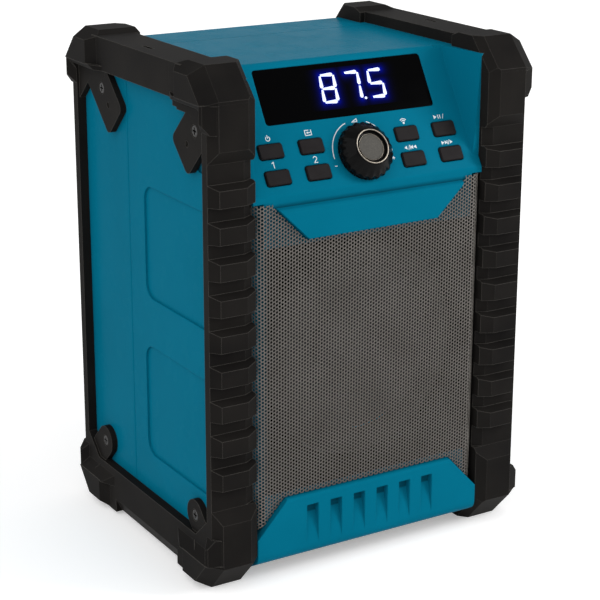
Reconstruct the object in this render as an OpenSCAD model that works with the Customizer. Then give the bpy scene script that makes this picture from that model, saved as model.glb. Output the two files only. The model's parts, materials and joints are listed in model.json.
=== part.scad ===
// Jobsite radio in two black bumper frames. X is to the right, Y to the back, Z up.
// The origin is on the ground, under the middle of the radio.

/* [Overall] */
// Width over the side bulges of the guards
overall_w = 196; // [184:1:216]
// Depth from the front to the back of the guard corners
overall_d = 161; // [156:1:185]
// Height over the guard corners
overall_h = 270; // [262:1:300]

/* [Guards] */
// Wall of the posts and of the rails' sides
guard_t = 5; // [4:0.5:7]
// Thickness of the rails over and under the housing
rail_t = 6; // [4:0.5:8]
// Width of a post across the front
post_w = 25.3; // [22:0.1:29]
// Width of a rail across the top
rail_w = 22; // [16:0.5:26]
// Height of a top rail's side
top_rail_h = 17.5; // [14:0.5:22]
// Height of a bottom rail's side
bottom_rail_h = 25.5; // [20:0.5:28]
// How far the corner caps stand out at the side
cap_side = 4; // [2:0.5:6]
// How far the corner caps stand above and below the rails
cap_lift = 2; // [1:0.5:4]
// Length of a corner cap along the rail
cap_len = 36; // [30:1:42]
// Height of a corner cap down the post
cap_h = 46; // [40:1:52]
// Depth of the sloped front of a corner cap
cap_slope_d = 14; // [10:0.5:18]
// Height of the sloped front of a corner cap
cap_slope_h = 15.4; // [12:0.1:20]
// How far ribs and caps stand in front of the post
rib_proud = 5; // [3:0.5:7]
// Distance from one rib to the next
rib_pitch = 18.14; // [15:0.01:24]
// Height of a rib's front face
rib_face = 8.6; // [6:0.1:11]
// Height of the slope on top of a rib
rib_slope = 2.2; // [1:0.1:4]
// Thickness of the screw tabs
tab_t = 3.5; // [2.5:0.1:4.5]
// Width of the straight screw tabs
strap_w = 23; // [18:0.5:26]
// Radius of the round screw tabs
lobe_r = 8.3; // [7:0.1:10]
// Radius of a guard screw's head
guard_head_r = 2.8; // [2.2:0.1:3.5]

/* [Housing] */
// Wall of the moulded shells
wall_t = 3; // [2:0.1:4]
// How far back the parting line is from the front of the guards
parting_d = 100.5; // [90:0.5:112]
// How far the front shell reaches past the parting line on top
tongue_l = 16; // [8:1:24]
// How far the feet of the cheeks stand inside the posts
cheek_in = 3.7; // [2:0.1:6]
// Angle of the control panel from level
panel_angle = 58.9; // [52:0.1:66]
// Length of the control panel from the plane of the chin to the top
panel_l = 75; // [72:0.5:80]
// Lean of the cheeks beside the panel
cheek_angle = 7.3; // [4:0.1:10]
// Depth of the recessed fields in the side walls
field_depth = 1.2; // [0.6:0.1:2]
// Corner radius of the recessed fields
field_r = 8; // [4:0.5:12]
// Step of the chin in front of the band above it
chin_step = 3.5; // [2.5:0.1:5]
// From a post to a lower corner of the chin
chin_low_in = 30.2; // [24:0.1:38]
// From a post to an upper corner of the chin
chin_top_in = 11.7; // [8:0.1:16]
// Height of the chin
chin_h = 16.5; // [12:0.5:18]
// Height of the lower bezel's top edge above the ground
bezel_top = 44; // [38:0.5:50]
// Height of the lower bezel's bottom edge above the ground
bezel_bottom = 9.5; // [9:0.5:14]
// From a post to an upper corner of the lower bezel
bezel_in = 17.9; // [14:0.1:24]
// Number of scooped slots in the lower bezel
slot_count = 6; // [3:1:8]
// Distance between the scooped slots
slot_pitch = 14.3; // [11:0.1:15]
// Width of a scooped slot
slot_w = 7; // [4:0.1:9]
// Depth of a scooped slot at its top
slot_depth = 5; // [2:0.1:5.5]

/* [Control panel] */
// From a post to the side of the display window
window_in = 18.6; // [14:0.1:28]
// Height of the display window
window_h = 29.2; // [22:0.1:32]
// From the top of the panel down to the middle of the display window
window_drop = 17.8; // [17:0.1:19]
// Corner radius of the display window
window_r = 1.8; // [1:0.1:4]
// Width of a button
button_w = 13.4; // [10:0.1:15]
// Height of a button
button_h = 7.4; // [5:0.1:9]
// Place of the inner buttons from the middle
button_inner_x = 28.5; // [26:0.1:30]
// From a post to the middle of the outer buttons
button_outer_in = 17; // [15:0.1:19]
// Place of the upper buttons up the panel
button_upper_s = 29.5; // [28:0.1:33]
// Place of the lower buttons up the panel
button_lower_s = 15.8; // [14:0.1:17]
// How far a button stands out of the panel
button_proud = 1.1; // [0.9:0.1:2]
// How far a button travels
button_travel = 0.8; // [0.4:0.1:0.8]
// Gap round a button
button_gap = 0.45; // [0.3:0.05:0.8]

/* [Volume knob] */
// Radius of the knob's skirt
knob_r = 15.3; // [13:0.1:17]
// Height of the knob above the panel
knob_h = 12.5; // [10:0.1:13]
// Radius of the knob's front rim
rim_r = 10.4; // [9:0.1:11.5]
// Radius of the knob's matt disc
disc_r = 7.2; // [5:0.1:7.8]
// Number of flutes round the skirt
flute_count = 22; // [12:1:30]
// Radius of the encoder shaft
shaft_r = 3; // [2.5:0.1:3.5]

/* [Grille and loudspeaker] */
// Thickness of the grille's sheet
grille_t = 1; // [0.8:0.1:1.5]
// Bend radius of the grille's long edges
grille_bend_r = 5.5; // [3:0.1:5.5]
// Gap round the grille
grille_gap = 0.6; // [0.4:0.1:1]
// From the side of the tray to the loudspeaker opening
speaker_margin = 5.3; // [3:0.1:10]
// Width of the loudspeaker's surround
surround_w = 11; // [8:0.5:12]
// Free depth between the loudspeaker and the battery terminal behind it
speaker_free_d = 8.5; // [2:0.5:14]
// Radius of the ring magnet
magnet_r = 40; // [32:0.5:44]
// Thickness of the ring magnet
magnet_t = 14; // [10:0.5:18]
// Radius of the voice coil's inner wall
coil_r = 12.4; // [10:0.1:14]

/* [Battery compartment] */
// Width of the battery pack
pack_w = 76; // [60:1:78]
// Length of the battery pack, which stands upright
pack_l = 120; // [90:1:122]
// Depth of the battery pack
pack_d = 52; // [40:1:53]
// Gap round the battery pack
pack_gap = 3; // [1:0.5:3.5]
// Thickness of the battery door
door_t = 3; // [2.5:0.1:4]
// Gap round the battery door
door_gap = 0.5; // [0.3:0.05:1]
// Radius of the door's hinge pin
hinge_pin_r = 1.5; // [1.2:0.1:2]
// Travel of the door latch
latch_travel = 4; // [2:0.5:5]
// Width of the battery terminal
terminal_w = 39.4; // [36:0.2:46]
// Height of the battery terminal
terminal_h = 35.4; // [30:0.2:40]
// Thickness of the battery terminal's flange
terminal_t = 3; // [2:0.5:4]
// Length of a contact blade
blade_l = 8; // [6:0.5:10]

/* [Electronics] */
// Width of the heat sink
heat_sink_w = 34; // [28:1:40]
// Length of the heat sink's fins
fin_l = 12; // [8:0.5:14]
// Thickness of the heat sink's base
heat_sink_t = 3; // [2:0.5:4]
// Radius of a filter capacitor
capacitor_r = 5.5; // [4:0.25:6]
// Length of a filter capacitor
capacitor_l = 16; // [12:0.5:18]
// Distance between the filter capacitors
capacitor_pitch = 14; // [12.5:0.5:15]

/* [Screws] */
// Radius of a cover screw's head
cover_head_r = 3; // [2.4:0.1:3.5]
// Height of a cover screw's head
cover_head_h = 2.5; // [1.8:0.1:3]
// Depth of the cross recess in a head
recess_depth = 1; // [0.6:0.1:1.4]

/* [Antenna and sockets] */
// Length of the antenna from its pivot
antenna_l = 112; // [80:1:116]
// Radius of the antenna near its pivot
antenna_r = 3.2; // [2.4:0.1:3.4]
// Height of the antenna's pivot below the top of the guards
antenna_drop = 34; // [30:0.5:40]
// Radius of the antenna's pin
antenna_pin_r = 1.5; // [1.2:0.1:2]
// Running clearance of the pins and the shaft
running_gap = 0.06; // [0.03:0.01:0.09]

/* [Hidden] */
$fn = 48;
// A small overlap that keeps cuts clean
eps = 0.01;

// Guard planes
front_y = -overall_d / 2;
guard_x = overall_w / 2 - cap_side;
post_front_y = front_y + rib_proud;
post_in_x = guard_x - post_w;
rail_in_x = guard_x - rail_w;
post_chamfer_x = 5.3;
post_chamfer_y = 3;
cap_top_flat = 17.8;
cap_shoulder_x = 6.9;
cap_shoulder_h = 4;
cap_belt_h = 17;

// Housing planes
body_x = guard_x - guard_t;
body_front_y = post_front_y + guard_t;
body_back_y = -body_front_y;
body_bottom = cap_lift + rail_t;
body_top = overall_h - cap_lift - rail_t;
parting_y = front_y + parting_d;
tongue_x = rail_in_x - 2;
edge_break = 0.8;
back_round_r = 5;

// Control panel
chin_y = front_y + 3;
band_y = chin_y + chin_step;
panel_y0 = chin_y;
panel_z0 = body_top - panel_l * sin(panel_angle);
lip_r = 3;
crest_r = 4;
panel_half = post_in_x - cheek_in;
panel_low_s = chin_step / cos(panel_angle) + 2.4;
knob_s = (button_upper_s + button_lower_s) / 2;
board_depth = 9;
board_t = 1.6;
board_w = 2 * panel_half - 12;
board_low_s = 10;
board_top_s = panel_l - 5;
pocket_depth = 17;
window_w = 2 * (post_in_x - window_in);
window_s = panel_l - window_drop;
window_t = 2;
window_ledge = 1.5;
button_outer_x = post_in_x - button_outer_in;
button_lip = 0.9;
button_rest = 0.2;
plunger_top = -wall_t - button_rest - button_lip - button_travel - 0.05;
// Posts of the control board on the right side, as [x, s]
board_posts = [[(button_inner_x + button_outer_x) / 2, board_low_s + 3], [board_w / 2 - 3, board_top_s - 3]];

// Chin, band and lower bezel
chin_top = panel_z0 - 0.6;
chin_bottom = chin_top - chin_h;
centre_half = post_in_x - 0.3;
chin_half_low = post_in_x - chin_low_in;
chin_half_top = post_in_x - chin_top_in;
bezel_half = post_in_x - bezel_in;
bezel_curl_r = 6;
bezel_side_z = 25;

// Grille and baffle
grille_y = band_y - grille_t;
grille_half = post_in_x - 0.7;
grille_top = panel_z0 + 2.2;
grille_bend_x = grille_half - grille_bend_r;
grille_end_y = grille_y + grille_bend_r;
tray_margin = 3;
tray_top = chin_bottom - tray_margin;
tray_bottom = bezel_top + tray_margin;
tray_half = grille_half - grille_bend_r - 0.2;
baffle_y = band_y + 6;
baffle_t = 4;
baffle_back_y = baffle_y + baffle_t;
speaker_z = (tray_top + tray_bottom) / 2;
speaker_hole_r = min(tray_half, (tray_top - tray_bottom) / 2) - speaker_margin;

// Battery compartment
bay_w = pack_w + 2 * pack_gap;
bay_l = pack_l + 2 * pack_gap;
bay_wall = 2.5;
tray_rim_y = body_back_y - door_t - wall_t;
bay_bottom = body_bottom + 14;
bay_top = bay_bottom + bay_l;
bay_mid_z = bay_bottom + bay_l / 2;
bay_front_y = body_back_y - door_t - pack_d - 4.5;
terminal_front_y = bay_front_y - bay_wall - terminal_t;
door_lap = 5;
door_w = bay_w + 2 * door_lap;
door_l = bay_l + 2 * door_lap;
hinge_x = -door_w / 2 - 3.6;
knuckle_r = 3;
hinge_y = body_back_y + knuckle_r + 0.3;
knuckle_l = 14;
knuckle_gap = 0.4;
knuckle_z = [bay_bottom + 12, bay_top - 12 - 2 * knuckle_l - knuckle_gap];
latch_w = 16;
latch_h = 26;
latch_t = 2;
latch_x = door_w / 2 - latch_w / 2 - 6;
latch_stem_w = 6;
latch_tongue_t = door_t - 1.4;
latch_slot_gap = 0.4;

// Loudspeaker, with places measured back from the baffle, and as deep as the battery terminal allows
gasket_t = 1;
flange_t = 2;
flange_r = speaker_hole_r + 7;
flange_y = baffle_back_y + gasket_t;
cone_front_y = flange_y + 1;
cone_r = speaker_hole_r - surround_w - 2.4;
cone_t = 0.9;
plate_t = 5;
basket_depth = terminal_front_y - speaker_free_d - 2 * plate_t - magnet_t - flange_y;
basket_back_y = flange_y + basket_depth;
cone_back_y = basket_back_y - 14;
cone_deep = cone_back_y - cone_front_y;
magnet_y = basket_back_y + plate_t;
yoke_y = magnet_y + magnet_t;
pole_r = coil_r - 0.4;
coil_t = 0.8;
gap_r = coil_r + coil_t + 0.4;
coil_end_y = basket_back_y + plate_t + 2;
spider_y = basket_back_y - 7;
spider_r = 30;
basket_floor_r = 32;
speaker_screw_r = flange_r - 3.2;

// Guard screws, as [distance from the end face, height from the nearest end, top?, back?]
strap_front = [35.7, 48];
strap_back = [53.2, 44.8];
lobe_front = [25.8, 36.4];
lobe_back = [28.9, 39.6];
strap_screw_back = 22;
strap_dimple_back = 11;
guard_screw_r = 1.6;
guard_screw_l = 12;

// Screws between the two shells, and the place of the sockets above the middle ones
cover_screw_x = post_in_x - 7;
flap_bottom = overall_h - 110;
cover_screw_z = [body_top - 12, flap_bottom - 11, body_bottom + 12];
cover_boss_r = 5;
cover_screw_r = 1.6;
cover_boss_front = 20;

// Sockets
flap_w = 14;
flap_l = 42;
flap_t = 2.4;
flap_x = post_in_x - 8.2;
flap_pin_r = 1.2;
flap_pin_z = flap_bottom + 1.8;
flap_recess = 2.8;
dc_z = flap_bottom + 14;
aux_z = flap_bottom + 31;
dc_hole_r = 3.5;
aux_hole_r = 2.6;

// Antenna
antenna_x = post_in_x - 10.7;
antenna_z = overall_h - antenna_drop;
antenna_eye_r = 5;
antenna_eye_t = 4;
antenna_boss_t = 1.5;
antenna_boss_r = 6.5;
antenna_eye_y = body_back_y + antenna_boss_t + 0.2;
antenna_mid_y = antenna_eye_y + antenna_eye_t / 2;
antenna_head_r = 3;
antenna_head_t = 1.2;

// Main board
main_side_room = 16.7;
main_w = 2 * (post_in_x - main_side_room);
main_z = bay_top + bay_wall + 19.5;
main_h = body_top - 26 - main_z;
main_y = parting_y + 14;
main_standoff_r = 3.5;

// ---------- shared shapes ----------

// A flat outline in X and Z, drawn out along Y
module prism_y(y1, y2) {
    translate([0, y2, 0])
        rotate([90, 0, 0])
            linear_extrude(y2 - y1)
                children();
}

// A flat outline in Y and Z, drawn out along X
module prism_x(x1, x2) {
    translate([x1, 0, 0])
        rotate([90, 0, 90])
            linear_extrude(x2 - x1)
                children();
}

// A flat outline in X and Y, drawn out along Z
module prism_z(z1, z2) {
    translate([0, 0, z1])
        linear_extrude(z2 - z1)
            children();
}

module box(x1, x2, y1, y2, z1, z2) {
    translate([x1, y1, z1])
        cube([x2 - x1, y2 - y1, z2 - z1]);
}

module rod_y(x, z, y1, y2, r) {
    translate([x, y1, z])
        rotate([-90, 0, 0])
            cylinder(h = y2 - y1, r = r);
}

module both_sides() {
    children();
    mirror([1, 0, 0])
        children();
}

module rounded_rect(w, h, r) {
    square([w - 2 * r, h], center = true);
    square([w, h - 2 * r], center = true);
    for (x = [-1, 1], y = [-1, 1])
        translate([x * (w / 2 - r), y * (h / 2 - r)])
            circle(r);
}

// Points of an arc from angle a1 to angle a2
function arc(cx, cy, r, a1, a2, n = 8) =
    [for (i = [0 : n]) [cx + r * cos(a1 + (a2 - a1) * i / n), cy + r * sin(a1 + (a2 - a1) * i / n)]];

// The panel's own frame: X across, Y up the slope, Z out of the panel
module on_panel() {
    translate([0, panel_y0, panel_z0])
        rotate([panel_angle, 0, 0])
            children();
}

// A ring drawn round the loudspeaker's axis: X is the radius, Y the distance back
module round_speaker() {
    translate([0, 0, speaker_z])
        rotate([-90, 0, 0])
            rotate_extrude()
                children();
}

// ---------- guards ----------

// Corner cap at the front top of the right guard: base block, without the side bulge
module cap_base() {
    cap_low = cap_belt_h + 8;
    intersection() {
        prism_y(front_y, front_y + cap_len + 3)
            polygon([[post_in_x, overall_h - cap_h], [guard_x, overall_h - cap_h],
                [guard_x, overall_h - 6], [guard_x + cap_side - 4.6, overall_h - cap_shoulder_h],
                [post_in_x + cap_top_flat, overall_h], [post_in_x, overall_h]]);
        prism_x(post_in_x, guard_x)
            polygon([[front_y + cap_slope_d, overall_h], [front_y + cap_len, overall_h],
                [front_y + cap_len + cap_lift, overall_h - cap_lift],
                [front_y + cap_len + cap_lift, overall_h - cap_low],
                [front_y + cap_low, overall_h - cap_low],
                [body_front_y, overall_h - cap_low - 14], [body_front_y, overall_h - cap_h],
                [post_front_y, overall_h - cap_h],
                [front_y, overall_h - cap_h + rib_proud + 1.5],
                [front_y, overall_h - cap_slope_h]]);
        prism_z(overall_h - cap_h, overall_h)
            polygon([[guard_x, post_front_y], [guard_x - 4, front_y],
                [post_in_x + post_chamfer_x, front_y], [post_in_x, front_y + 3.4],
                [post_in_x, front_y + cap_len + 4], [guard_x, front_y + cap_len + 4]]);
    }
}

// The cap's raised side: an elbow with sloped borders and a 45 degree inner edge
module cap_bulge() {
    out_x = guard_x + cap_side;
    in_x = guard_x - 7.5;
    run = 6.3;
    arm_post_d = 5.3;
    arm_end_h = 26;
    elbow = 33;
    elbow_run = 15;
    // the borders' slopes run on a little way into the base block
    sunk = 0.4;
    past = 1 + sunk / cap_side;
    arm_low_z = overall_h - arm_end_h - 5 * past;
    belt_low_z = overall_h - cap_belt_h - run * past;
    arm_back_y = front_y + arm_post_d + (2 * rib_proud - arm_post_d) * past;
    intersection() {
        // front outline: sloped shoulders, flat belt, lower return
        prism_y(front_y, front_y + cap_len + run)
            polygon([[in_x, arm_low_z], [guard_x - sunk, arm_low_z],
                [out_x, overall_h - arm_end_h], [out_x, overall_h - cap_belt_h],
                [out_x - 4.6, overall_h - cap_shoulder_h], [in_x, overall_h - 0.3]]);
        // plan outline: front chamfer and the sloped end on the rail
        prism_z(arm_low_z - 1, overall_h)
            polygon([[in_x, front_y + 0.3], [guard_x - 4.4, front_y + 0.3], [out_x - 1, front_y + 3.7],
                [out_x, front_y + 6], [out_x, front_y + cap_len - 3],
                [guard_x, front_y + cap_len + run], [in_x, front_y + cap_len + run]]);
        // side outline: the same sloped front as the base
        prism_x(in_x, out_x)
            polygon([[front_y + cap_slope_d, overall_h], [front_y + cap_len + run, overall_h],
                [front_y + cap_len + run, overall_h - cap_h], [front_y, overall_h - cap_h],
                [front_y, overall_h - cap_slope_h]]);
        union() {
            prism_y(front_y, front_y + cap_len + run)
                polygon([[in_x, overall_h], [out_x, overall_h], [out_x, overall_h - cap_belt_h],
                    [guard_x - sunk, belt_low_z], [in_x, belt_low_z]]);
            prism_z(arm_low_z - 1, overall_h)
                polygon([[in_x, front_y], [out_x, front_y], [out_x, front_y + arm_post_d],
                    [guard_x - sunk, arm_back_y], [in_x, arm_back_y]]);
            translate([0, front_y, overall_h])
                rotate([45, 0, 0])
                    prism_y(0, elbow_run * 4)
                        translate([0, -30 * sqrt(2)])
                            cap_elbow([in_x, guard_x - sunk, out_x],
                                elbow / sqrt(2), (elbow + elbow_run * past) / sqrt(2));
        }
    }
}

// Section across the elbow's sloped inner edge, with its deep side upwards
module cap_elbow(x, near, far) {
    top = 30 * sqrt(2);
    polygon([[x[0], top], [x[2], top], [x[2], top - near], [x[1], top - far], [x[0], top - far]]);
}

module post() {
    prism_z(rail_t, overall_h - rail_t)
        polygon([[guard_x, post_front_y], [guard_x, body_front_y], [post_in_x, body_front_y],
            [post_in_x, post_front_y + post_chamfer_y], [post_in_x + post_chamfer_x, post_front_y]]);
}

module rib() {
    intersection() {
        prism_z(0, rib_face + rib_slope)
            polygon([[guard_x, post_front_y + 1], [guard_x, post_front_y], [guard_x - 4, front_y],
                [post_in_x + 6.4, front_y], [post_in_x, front_y + 3.4],
                [post_in_x, post_front_y + post_chamfer_y + 0.5]]);
        prism_x(post_in_x, guard_x)
            polygon([[front_y, 0], [front_y, rib_face], [post_front_y, rib_face + rib_slope],
                [body_front_y, rib_face + rib_slope], [body_front_y, 0]]);
    }
}

module ribbed_post() {
    first = overall_h - cap_h - 20.7;
    room = first - cap_h - 10;
    post();
    for (i = [0 : floor(room / rib_pitch)])
        translate([0, 0, first - i * rib_pitch])
            rib();
}

module top_rail() {
    prism_y(body_front_y - 1, body_back_y + 1)
        polygon([[rail_in_x, body_top + rail_t], [guard_x, body_top + rail_t],
            [guard_x, body_top + rail_t - top_rail_h], [body_x, body_top + rail_t - top_rail_h],
            [body_x, body_top], [rail_in_x, body_top]]);
}

module bottom_rail() {
    under = 4;
    prism_y(body_front_y - 1, body_back_y + 1)
        polygon([[rail_in_x, cap_lift], [guard_x - under, cap_lift], [guard_x, cap_lift + 2 * under],
            [guard_x, cap_lift + bottom_rail_h], [body_x, cap_lift + bottom_rail_h],
            [body_x, body_bottom], [rail_in_x, body_bottom]]);
}

// Screw tab on the housing's side: reach is its end, measured from the corner of the guard
module tab(reach, l) {
    prism_x(body_x, body_x + tab_t)
        intersection() {
            translate([reach[0], -reach[1]])
                rotate(-45)
                    translate([-l, 0])
                        children();
            translate([rib_proud, -overall_h / 2])
                square(overall_h / 2);
        }
}

module strap(reach) {
    l = (reach[0] + reach[1] - rib_proud - guard_t - cap_lift - top_rail_h) / sqrt(2);
    tab(reach, l / 2)
        rounded_rect(l, strap_w, 3.5);
}

module lobe(reach) {
    l = (reach[0] + reach[1] - rib_proud - guard_t - cap_lift - bottom_rail_h) / sqrt(2) + 4;
    tab(reach, l) {
        translate([l, 0])
            circle(lobe_r);
        translate([0, -lobe_r])
            square([l, 2 * lobe_r]);
    }
}

// The four corners of a guard: children are drawn for the front top corner
module at_front_top() {
    translate([0, front_y, overall_h])
        children();
}

module at_back_top() {
    mirror([0, 1, 0])
        at_front_top()
            children();
}

module at_front_bottom() {
    translate([0, 0, overall_h])
        mirror([0, 0, 1])
            at_front_top()
                children();
}

module at_back_bottom() {
    mirror([0, 1, 0])
        at_front_bottom()
            children();
}

// Counterbored hole for a guard screw at a place measured from the corner
module tab_hole(place) {
    translate([body_x, place[0], -place[1]])
        rotate([0, 90, 0]) {
            translate([0, 0, -1])
                cylinder(h = tab_t + 1, r = guard_screw_r + 0.2);
            translate([0, 0, tab_t - 2])
                cylinder(h = 3, r = guard_head_r + 0.3);
        }
}

// Shallow moulding dimple in a straight tab
module tab_dimple(place) {
    translate([body_x + tab_t - 0.8, place[0], -place[1]])
        rotate([0, 90, 0])
            cylinder(h = 2, r = 1.6);
}

function back_from(reach, l) = [reach[0] - l / sqrt(2), reach[1] - l / sqrt(2)];

module right_guard() {
    color("#262425")
    difference() {
        union() {
            ribbed_post();
            mirror([0, 1, 0])
                ribbed_post();
            top_rail();
            bottom_rail();
            for (up = [0, 1], back = [0, 1])
                translate([0, 0, up * overall_h])
                    mirror([0, 0, up])
                        mirror([0, back, 0]) {
                            cap_base();
                            cap_bulge();
                        }
            at_front_top()
                strap(strap_front);
            at_back_top()
                strap(strap_back);
            at_front_bottom()
                lobe(lobe_front);
            at_back_bottom()
                lobe(lobe_back);
        }
        // room for the housing's own corner
        box(0, body_x, body_front_y, body_back_y, body_bottom, body_top);
        at_front_top()
            tab_hole(back_from(strap_front, strap_screw_back));
        at_back_top()
            tab_hole(back_from(strap_back, strap_screw_back));
        at_front_bottom()
            tab_hole(lobe_front);
        at_back_bottom()
            tab_hole(lobe_back);
        at_front_top()
            tab_dimple(back_from(strap_front, strap_dimple_back));
        at_back_top()
            tab_dimple(back_from(strap_back, strap_dimple_back));
        // small slot in the middle of the top rail
        box(guard_x - 9, guard_x - 7, -5, 5, overall_h - cap_lift - 1.5, overall_h);
    }
}

module left_guard() {
    mirror([1, 0, 0])
        right_guard();
}

// Cut of a cross recess, from its floor upwards
module cross_recess(head_r) {
    l = head_r * 1.25;
    w = head_r * 0.3;
    translate([-l / 2, -w / 2, 0])
        cube([l, w, recess_depth + 1]);
    translate([-w / 2, -l / 2, 0])
        cube([w, l, recess_depth + 1]);
}

// One guard screw: a pan head in the tab's hole and a shank in the housing's boss
module guard_screw(place) {
    translate([body_x, place[0], -place[1]])
        rotate([0, 90, 0]) {
            difference() {
                translate([0, 0, tab_t - 2])
                    cylinder(h = 1.8, r = guard_head_r);
                translate([0, 0, tab_t - 0.2 - recess_depth])
                    cross_recess(guard_head_r);
            }
            translate([0, 0, -guard_screw_l])
                cylinder(h = guard_screw_l + tab_t - 2, r = guard_screw_r);
        }
}

module guard_screws() {
    color("#8d8a86")
    both_sides() {
        at_front_top()
            guard_screw(back_from(strap_front, strap_screw_back));
        at_back_top()
            guard_screw(back_from(strap_back, strap_screw_back));
        at_front_bottom()
            guard_screw(lobe_front);
        at_back_bottom()
            guard_screw(lobe_back);
    }
}

// ---------- housing ----------

// Side outline of the middle of the front shell
module front_profile() {
    a = 90 - panel_angle;
    lip_cy = band_y + lip_r;
    lip_cz = panel_z0 + (lip_cy - panel_y0) * tan(panel_angle) - lip_r / cos(panel_angle);
    crest_cz = body_top - crest_r;
    crest_cy = panel_y0 + (crest_cz - panel_z0 + crest_r / cos(panel_angle)) / tan(panel_angle);
    polygon(concat([[parting_y, body_bottom], [body_front_y, body_bottom], [body_front_y, bezel_side_z],
        [band_y, bezel_side_z]],
        arc(lip_cy, lip_cz, lip_r, 180, 90 + panel_angle, 4),
        arc(crest_cy, crest_cz, crest_r, 90 + panel_angle, 90, 4),
        [[parting_y, body_top]]));
}

// Everything above the panel and between the cheeks
module panel_cut() {
    rise = 60;
    spread = rise * tan(cheek_angle);
    on_panel()
        prism_y(-20, panel_l + 40)
            polygon([[-panel_half, 0], [-panel_half - spread, rise], [panel_half + spread, rise],
                [panel_half, 0]]);
}

module chin() {
    half_low = chin_half_low;
    half_top = chin_half_top;
    intersection() {
        prism_y(chin_y, body_front_y)
            polygon([[-half_low, chin_bottom], [half_low, chin_bottom], [half_top, chin_top + 1.5],
                [-half_top, chin_top + 1.5]]);
        prism_x(-half_top, half_top)
            polygon([[chin_y, chin_bottom], [chin_y, chin_top - 1], [chin_y + 1, chin_top],
                [band_y, chin_top + 0.5], [body_front_y, chin_top + 0.5], [body_front_y, chin_bottom]]);
    }
}

module bezel() {
    half_low = centre_half;
    half_top = bezel_half;
    slot_top = bezel_top - 6.2;
    slot_foot = bezel_bottom + bezel_curl_r + 0.8;
    difference() {
        intersection() {
            prism_y(chin_y, body_front_y + 2)
                polygon([[-half_low, bezel_bottom - 1], [half_low, bezel_bottom - 1],
                    [half_low, bezel_side_z], [half_top, bezel_top], [-half_top, bezel_top],
                    [-half_low, bezel_side_z]]);
            prism_x(-half_low, half_low)
                polygon(concat(arc(chin_y + bezel_curl_r, bezel_bottom + bezel_curl_r, bezel_curl_r, 180, 270, 6),
                    [[body_front_y + 2, bezel_bottom], [body_front_y + 2, bezel_top]],
                    arc(chin_y + 1.5, bezel_top - 1.5, 1.5, 90, 180, 3)));
        }
        for (i = [0 : slot_count - 1])
            translate([(i - (slot_count - 1) / 2) * slot_pitch, 0, 0])
                prism_x(-slot_w / 2, slot_w / 2)
                    polygon(concat([[chin_y - 1, slot_top + 0.4], [chin_y + slot_depth, slot_top]],
                        [for (k = [1 : 5]) [chin_y + slot_depth * pow(1 - k / 5, 1.5),
                            slot_top + (slot_foot - slot_top) * k / 5]],
                        [[chin_y - 1, slot_foot]]));
    }
}

// One recessed field in the side wall, open towards the front post
module side_field(back_y, z1, z2) {
    l = back_y - body_front_y + 10;
    prism_x(body_x - field_depth, body_x + 1)
        translate([back_y - l / 2, (z1 + z2) / 2])
            rounded_rect(l, z2 - z1, field_r);
}

module front_housing() {
    // recessed fields in a side wall, as [back edge, bottom, top]
    fields = [[4.5, 49.2, 110.8], [2.5, 137.5, 197.5], [-52, 216.5, 233]];
    color("#00708f")
    difference() {
        union() {
            difference() {
                union() {
                    prism_x(-centre_half, centre_half)
                        front_profile();
                    both_sides()
                        box(panel_half - 4, body_x, body_front_y, parting_y, body_bottom, body_top);
                }
                panel_cut();
                // inside of the shell
                prism_x(-body_x + wall_t, body_x - wall_t)
                    shell_inside();
                // grooves for the grille's rolled edges, and the tray in front of the baffle
                both_sides()
                    box(tray_half, grille_half + 0.5, band_y - 1, grille_end_y + 0.3, bezel_side_z - 2,
                        grille_top + 0.5);
                box(-tray_half, tray_half, band_y - 1, baffle_y, tray_bottom, tray_top);
                rod_y(0, speaker_z, baffle_y - 1, baffle_back_y + 1, speaker_hole_r);
            }
            chin();
            bezel();
            // tongue over the rear cover on top
            box(-tongue_x, tongue_x, parting_y - eps, parting_y + tongue_l, body_top - wall_t / 2, body_top);
            // bosses for the screws of the rear cover, on webs from the walls
            both_sides() {
                for (z = cover_screw_z)
                    rod_y(cover_screw_x, z, parting_y - cover_boss_front, parting_y, cover_boss_r);
                boss_web(cover_screw_z[0], body_top - wall_t / 2);
                boss_web(body_bottom + wall_t / 2, cover_screw_z[2]);
                box(cover_screw_x, body_x - wall_t / 2, parting_y - cover_boss_front, parting_y,
                    cover_screw_z[1] - 1.5, cover_screw_z[1] + 1.5);
            }
            guard_bosses(-1);
        }
        panel_openings();
        both_sides()
            for (z = cover_screw_z)
                rod_y(cover_screw_x, z, parting_y - cover_boss_front + 3, parting_y + 1, cover_screw_r);
        both_sides()
            for (f = fields)
                side_field(f[0], f[1], f[2]);
        guard_screw_bores();
        edge_breaks();
        for (a = [45 : 90 : 315])
            rod_y(speaker_screw_r * cos(a), speaker_z + speaker_screw_r * sin(a), baffle_y + 1,
                baffle_back_y + 1, 1.3);
    }
}

// Inside of the front shell behind the baffle and under the panel
module shell_inside() {
    inner_y0 = panel_y0 + wall_t * sin(panel_angle);
    inner_z0 = panel_z0 - wall_t * cos(panel_angle);
    top = body_top - wall_t;
    polygon([[parting_y + 1, body_bottom + wall_t], [baffle_back_y, body_bottom + wall_t],
        [baffle_back_y, inner_z0 + (baffle_back_y - inner_y0) * tan(panel_angle)],
        [inner_y0 + (top - inner_z0) / tan(panel_angle), top], [parting_y + 1, top]]);
}

module boss_web(z1, z2) {
    box(cover_screw_x - 1.5, cover_screw_x + 1.5, parting_y - cover_boss_front, parting_y, z1, z2);
}

// Posts for the control board, each with a peg through it
module board_posts_all() {
    both_sides()
        for (b = board_posts)
            translate([b[0], b[1], 0]) {
                translate([0, 0, -board_depth])
                    cylinder(h = board_depth, r = 2);
                translate([0, 0, -board_depth - board_t - 1])
                    cylinder(h = board_t + 2, r = 1.2);
            }
}

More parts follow.
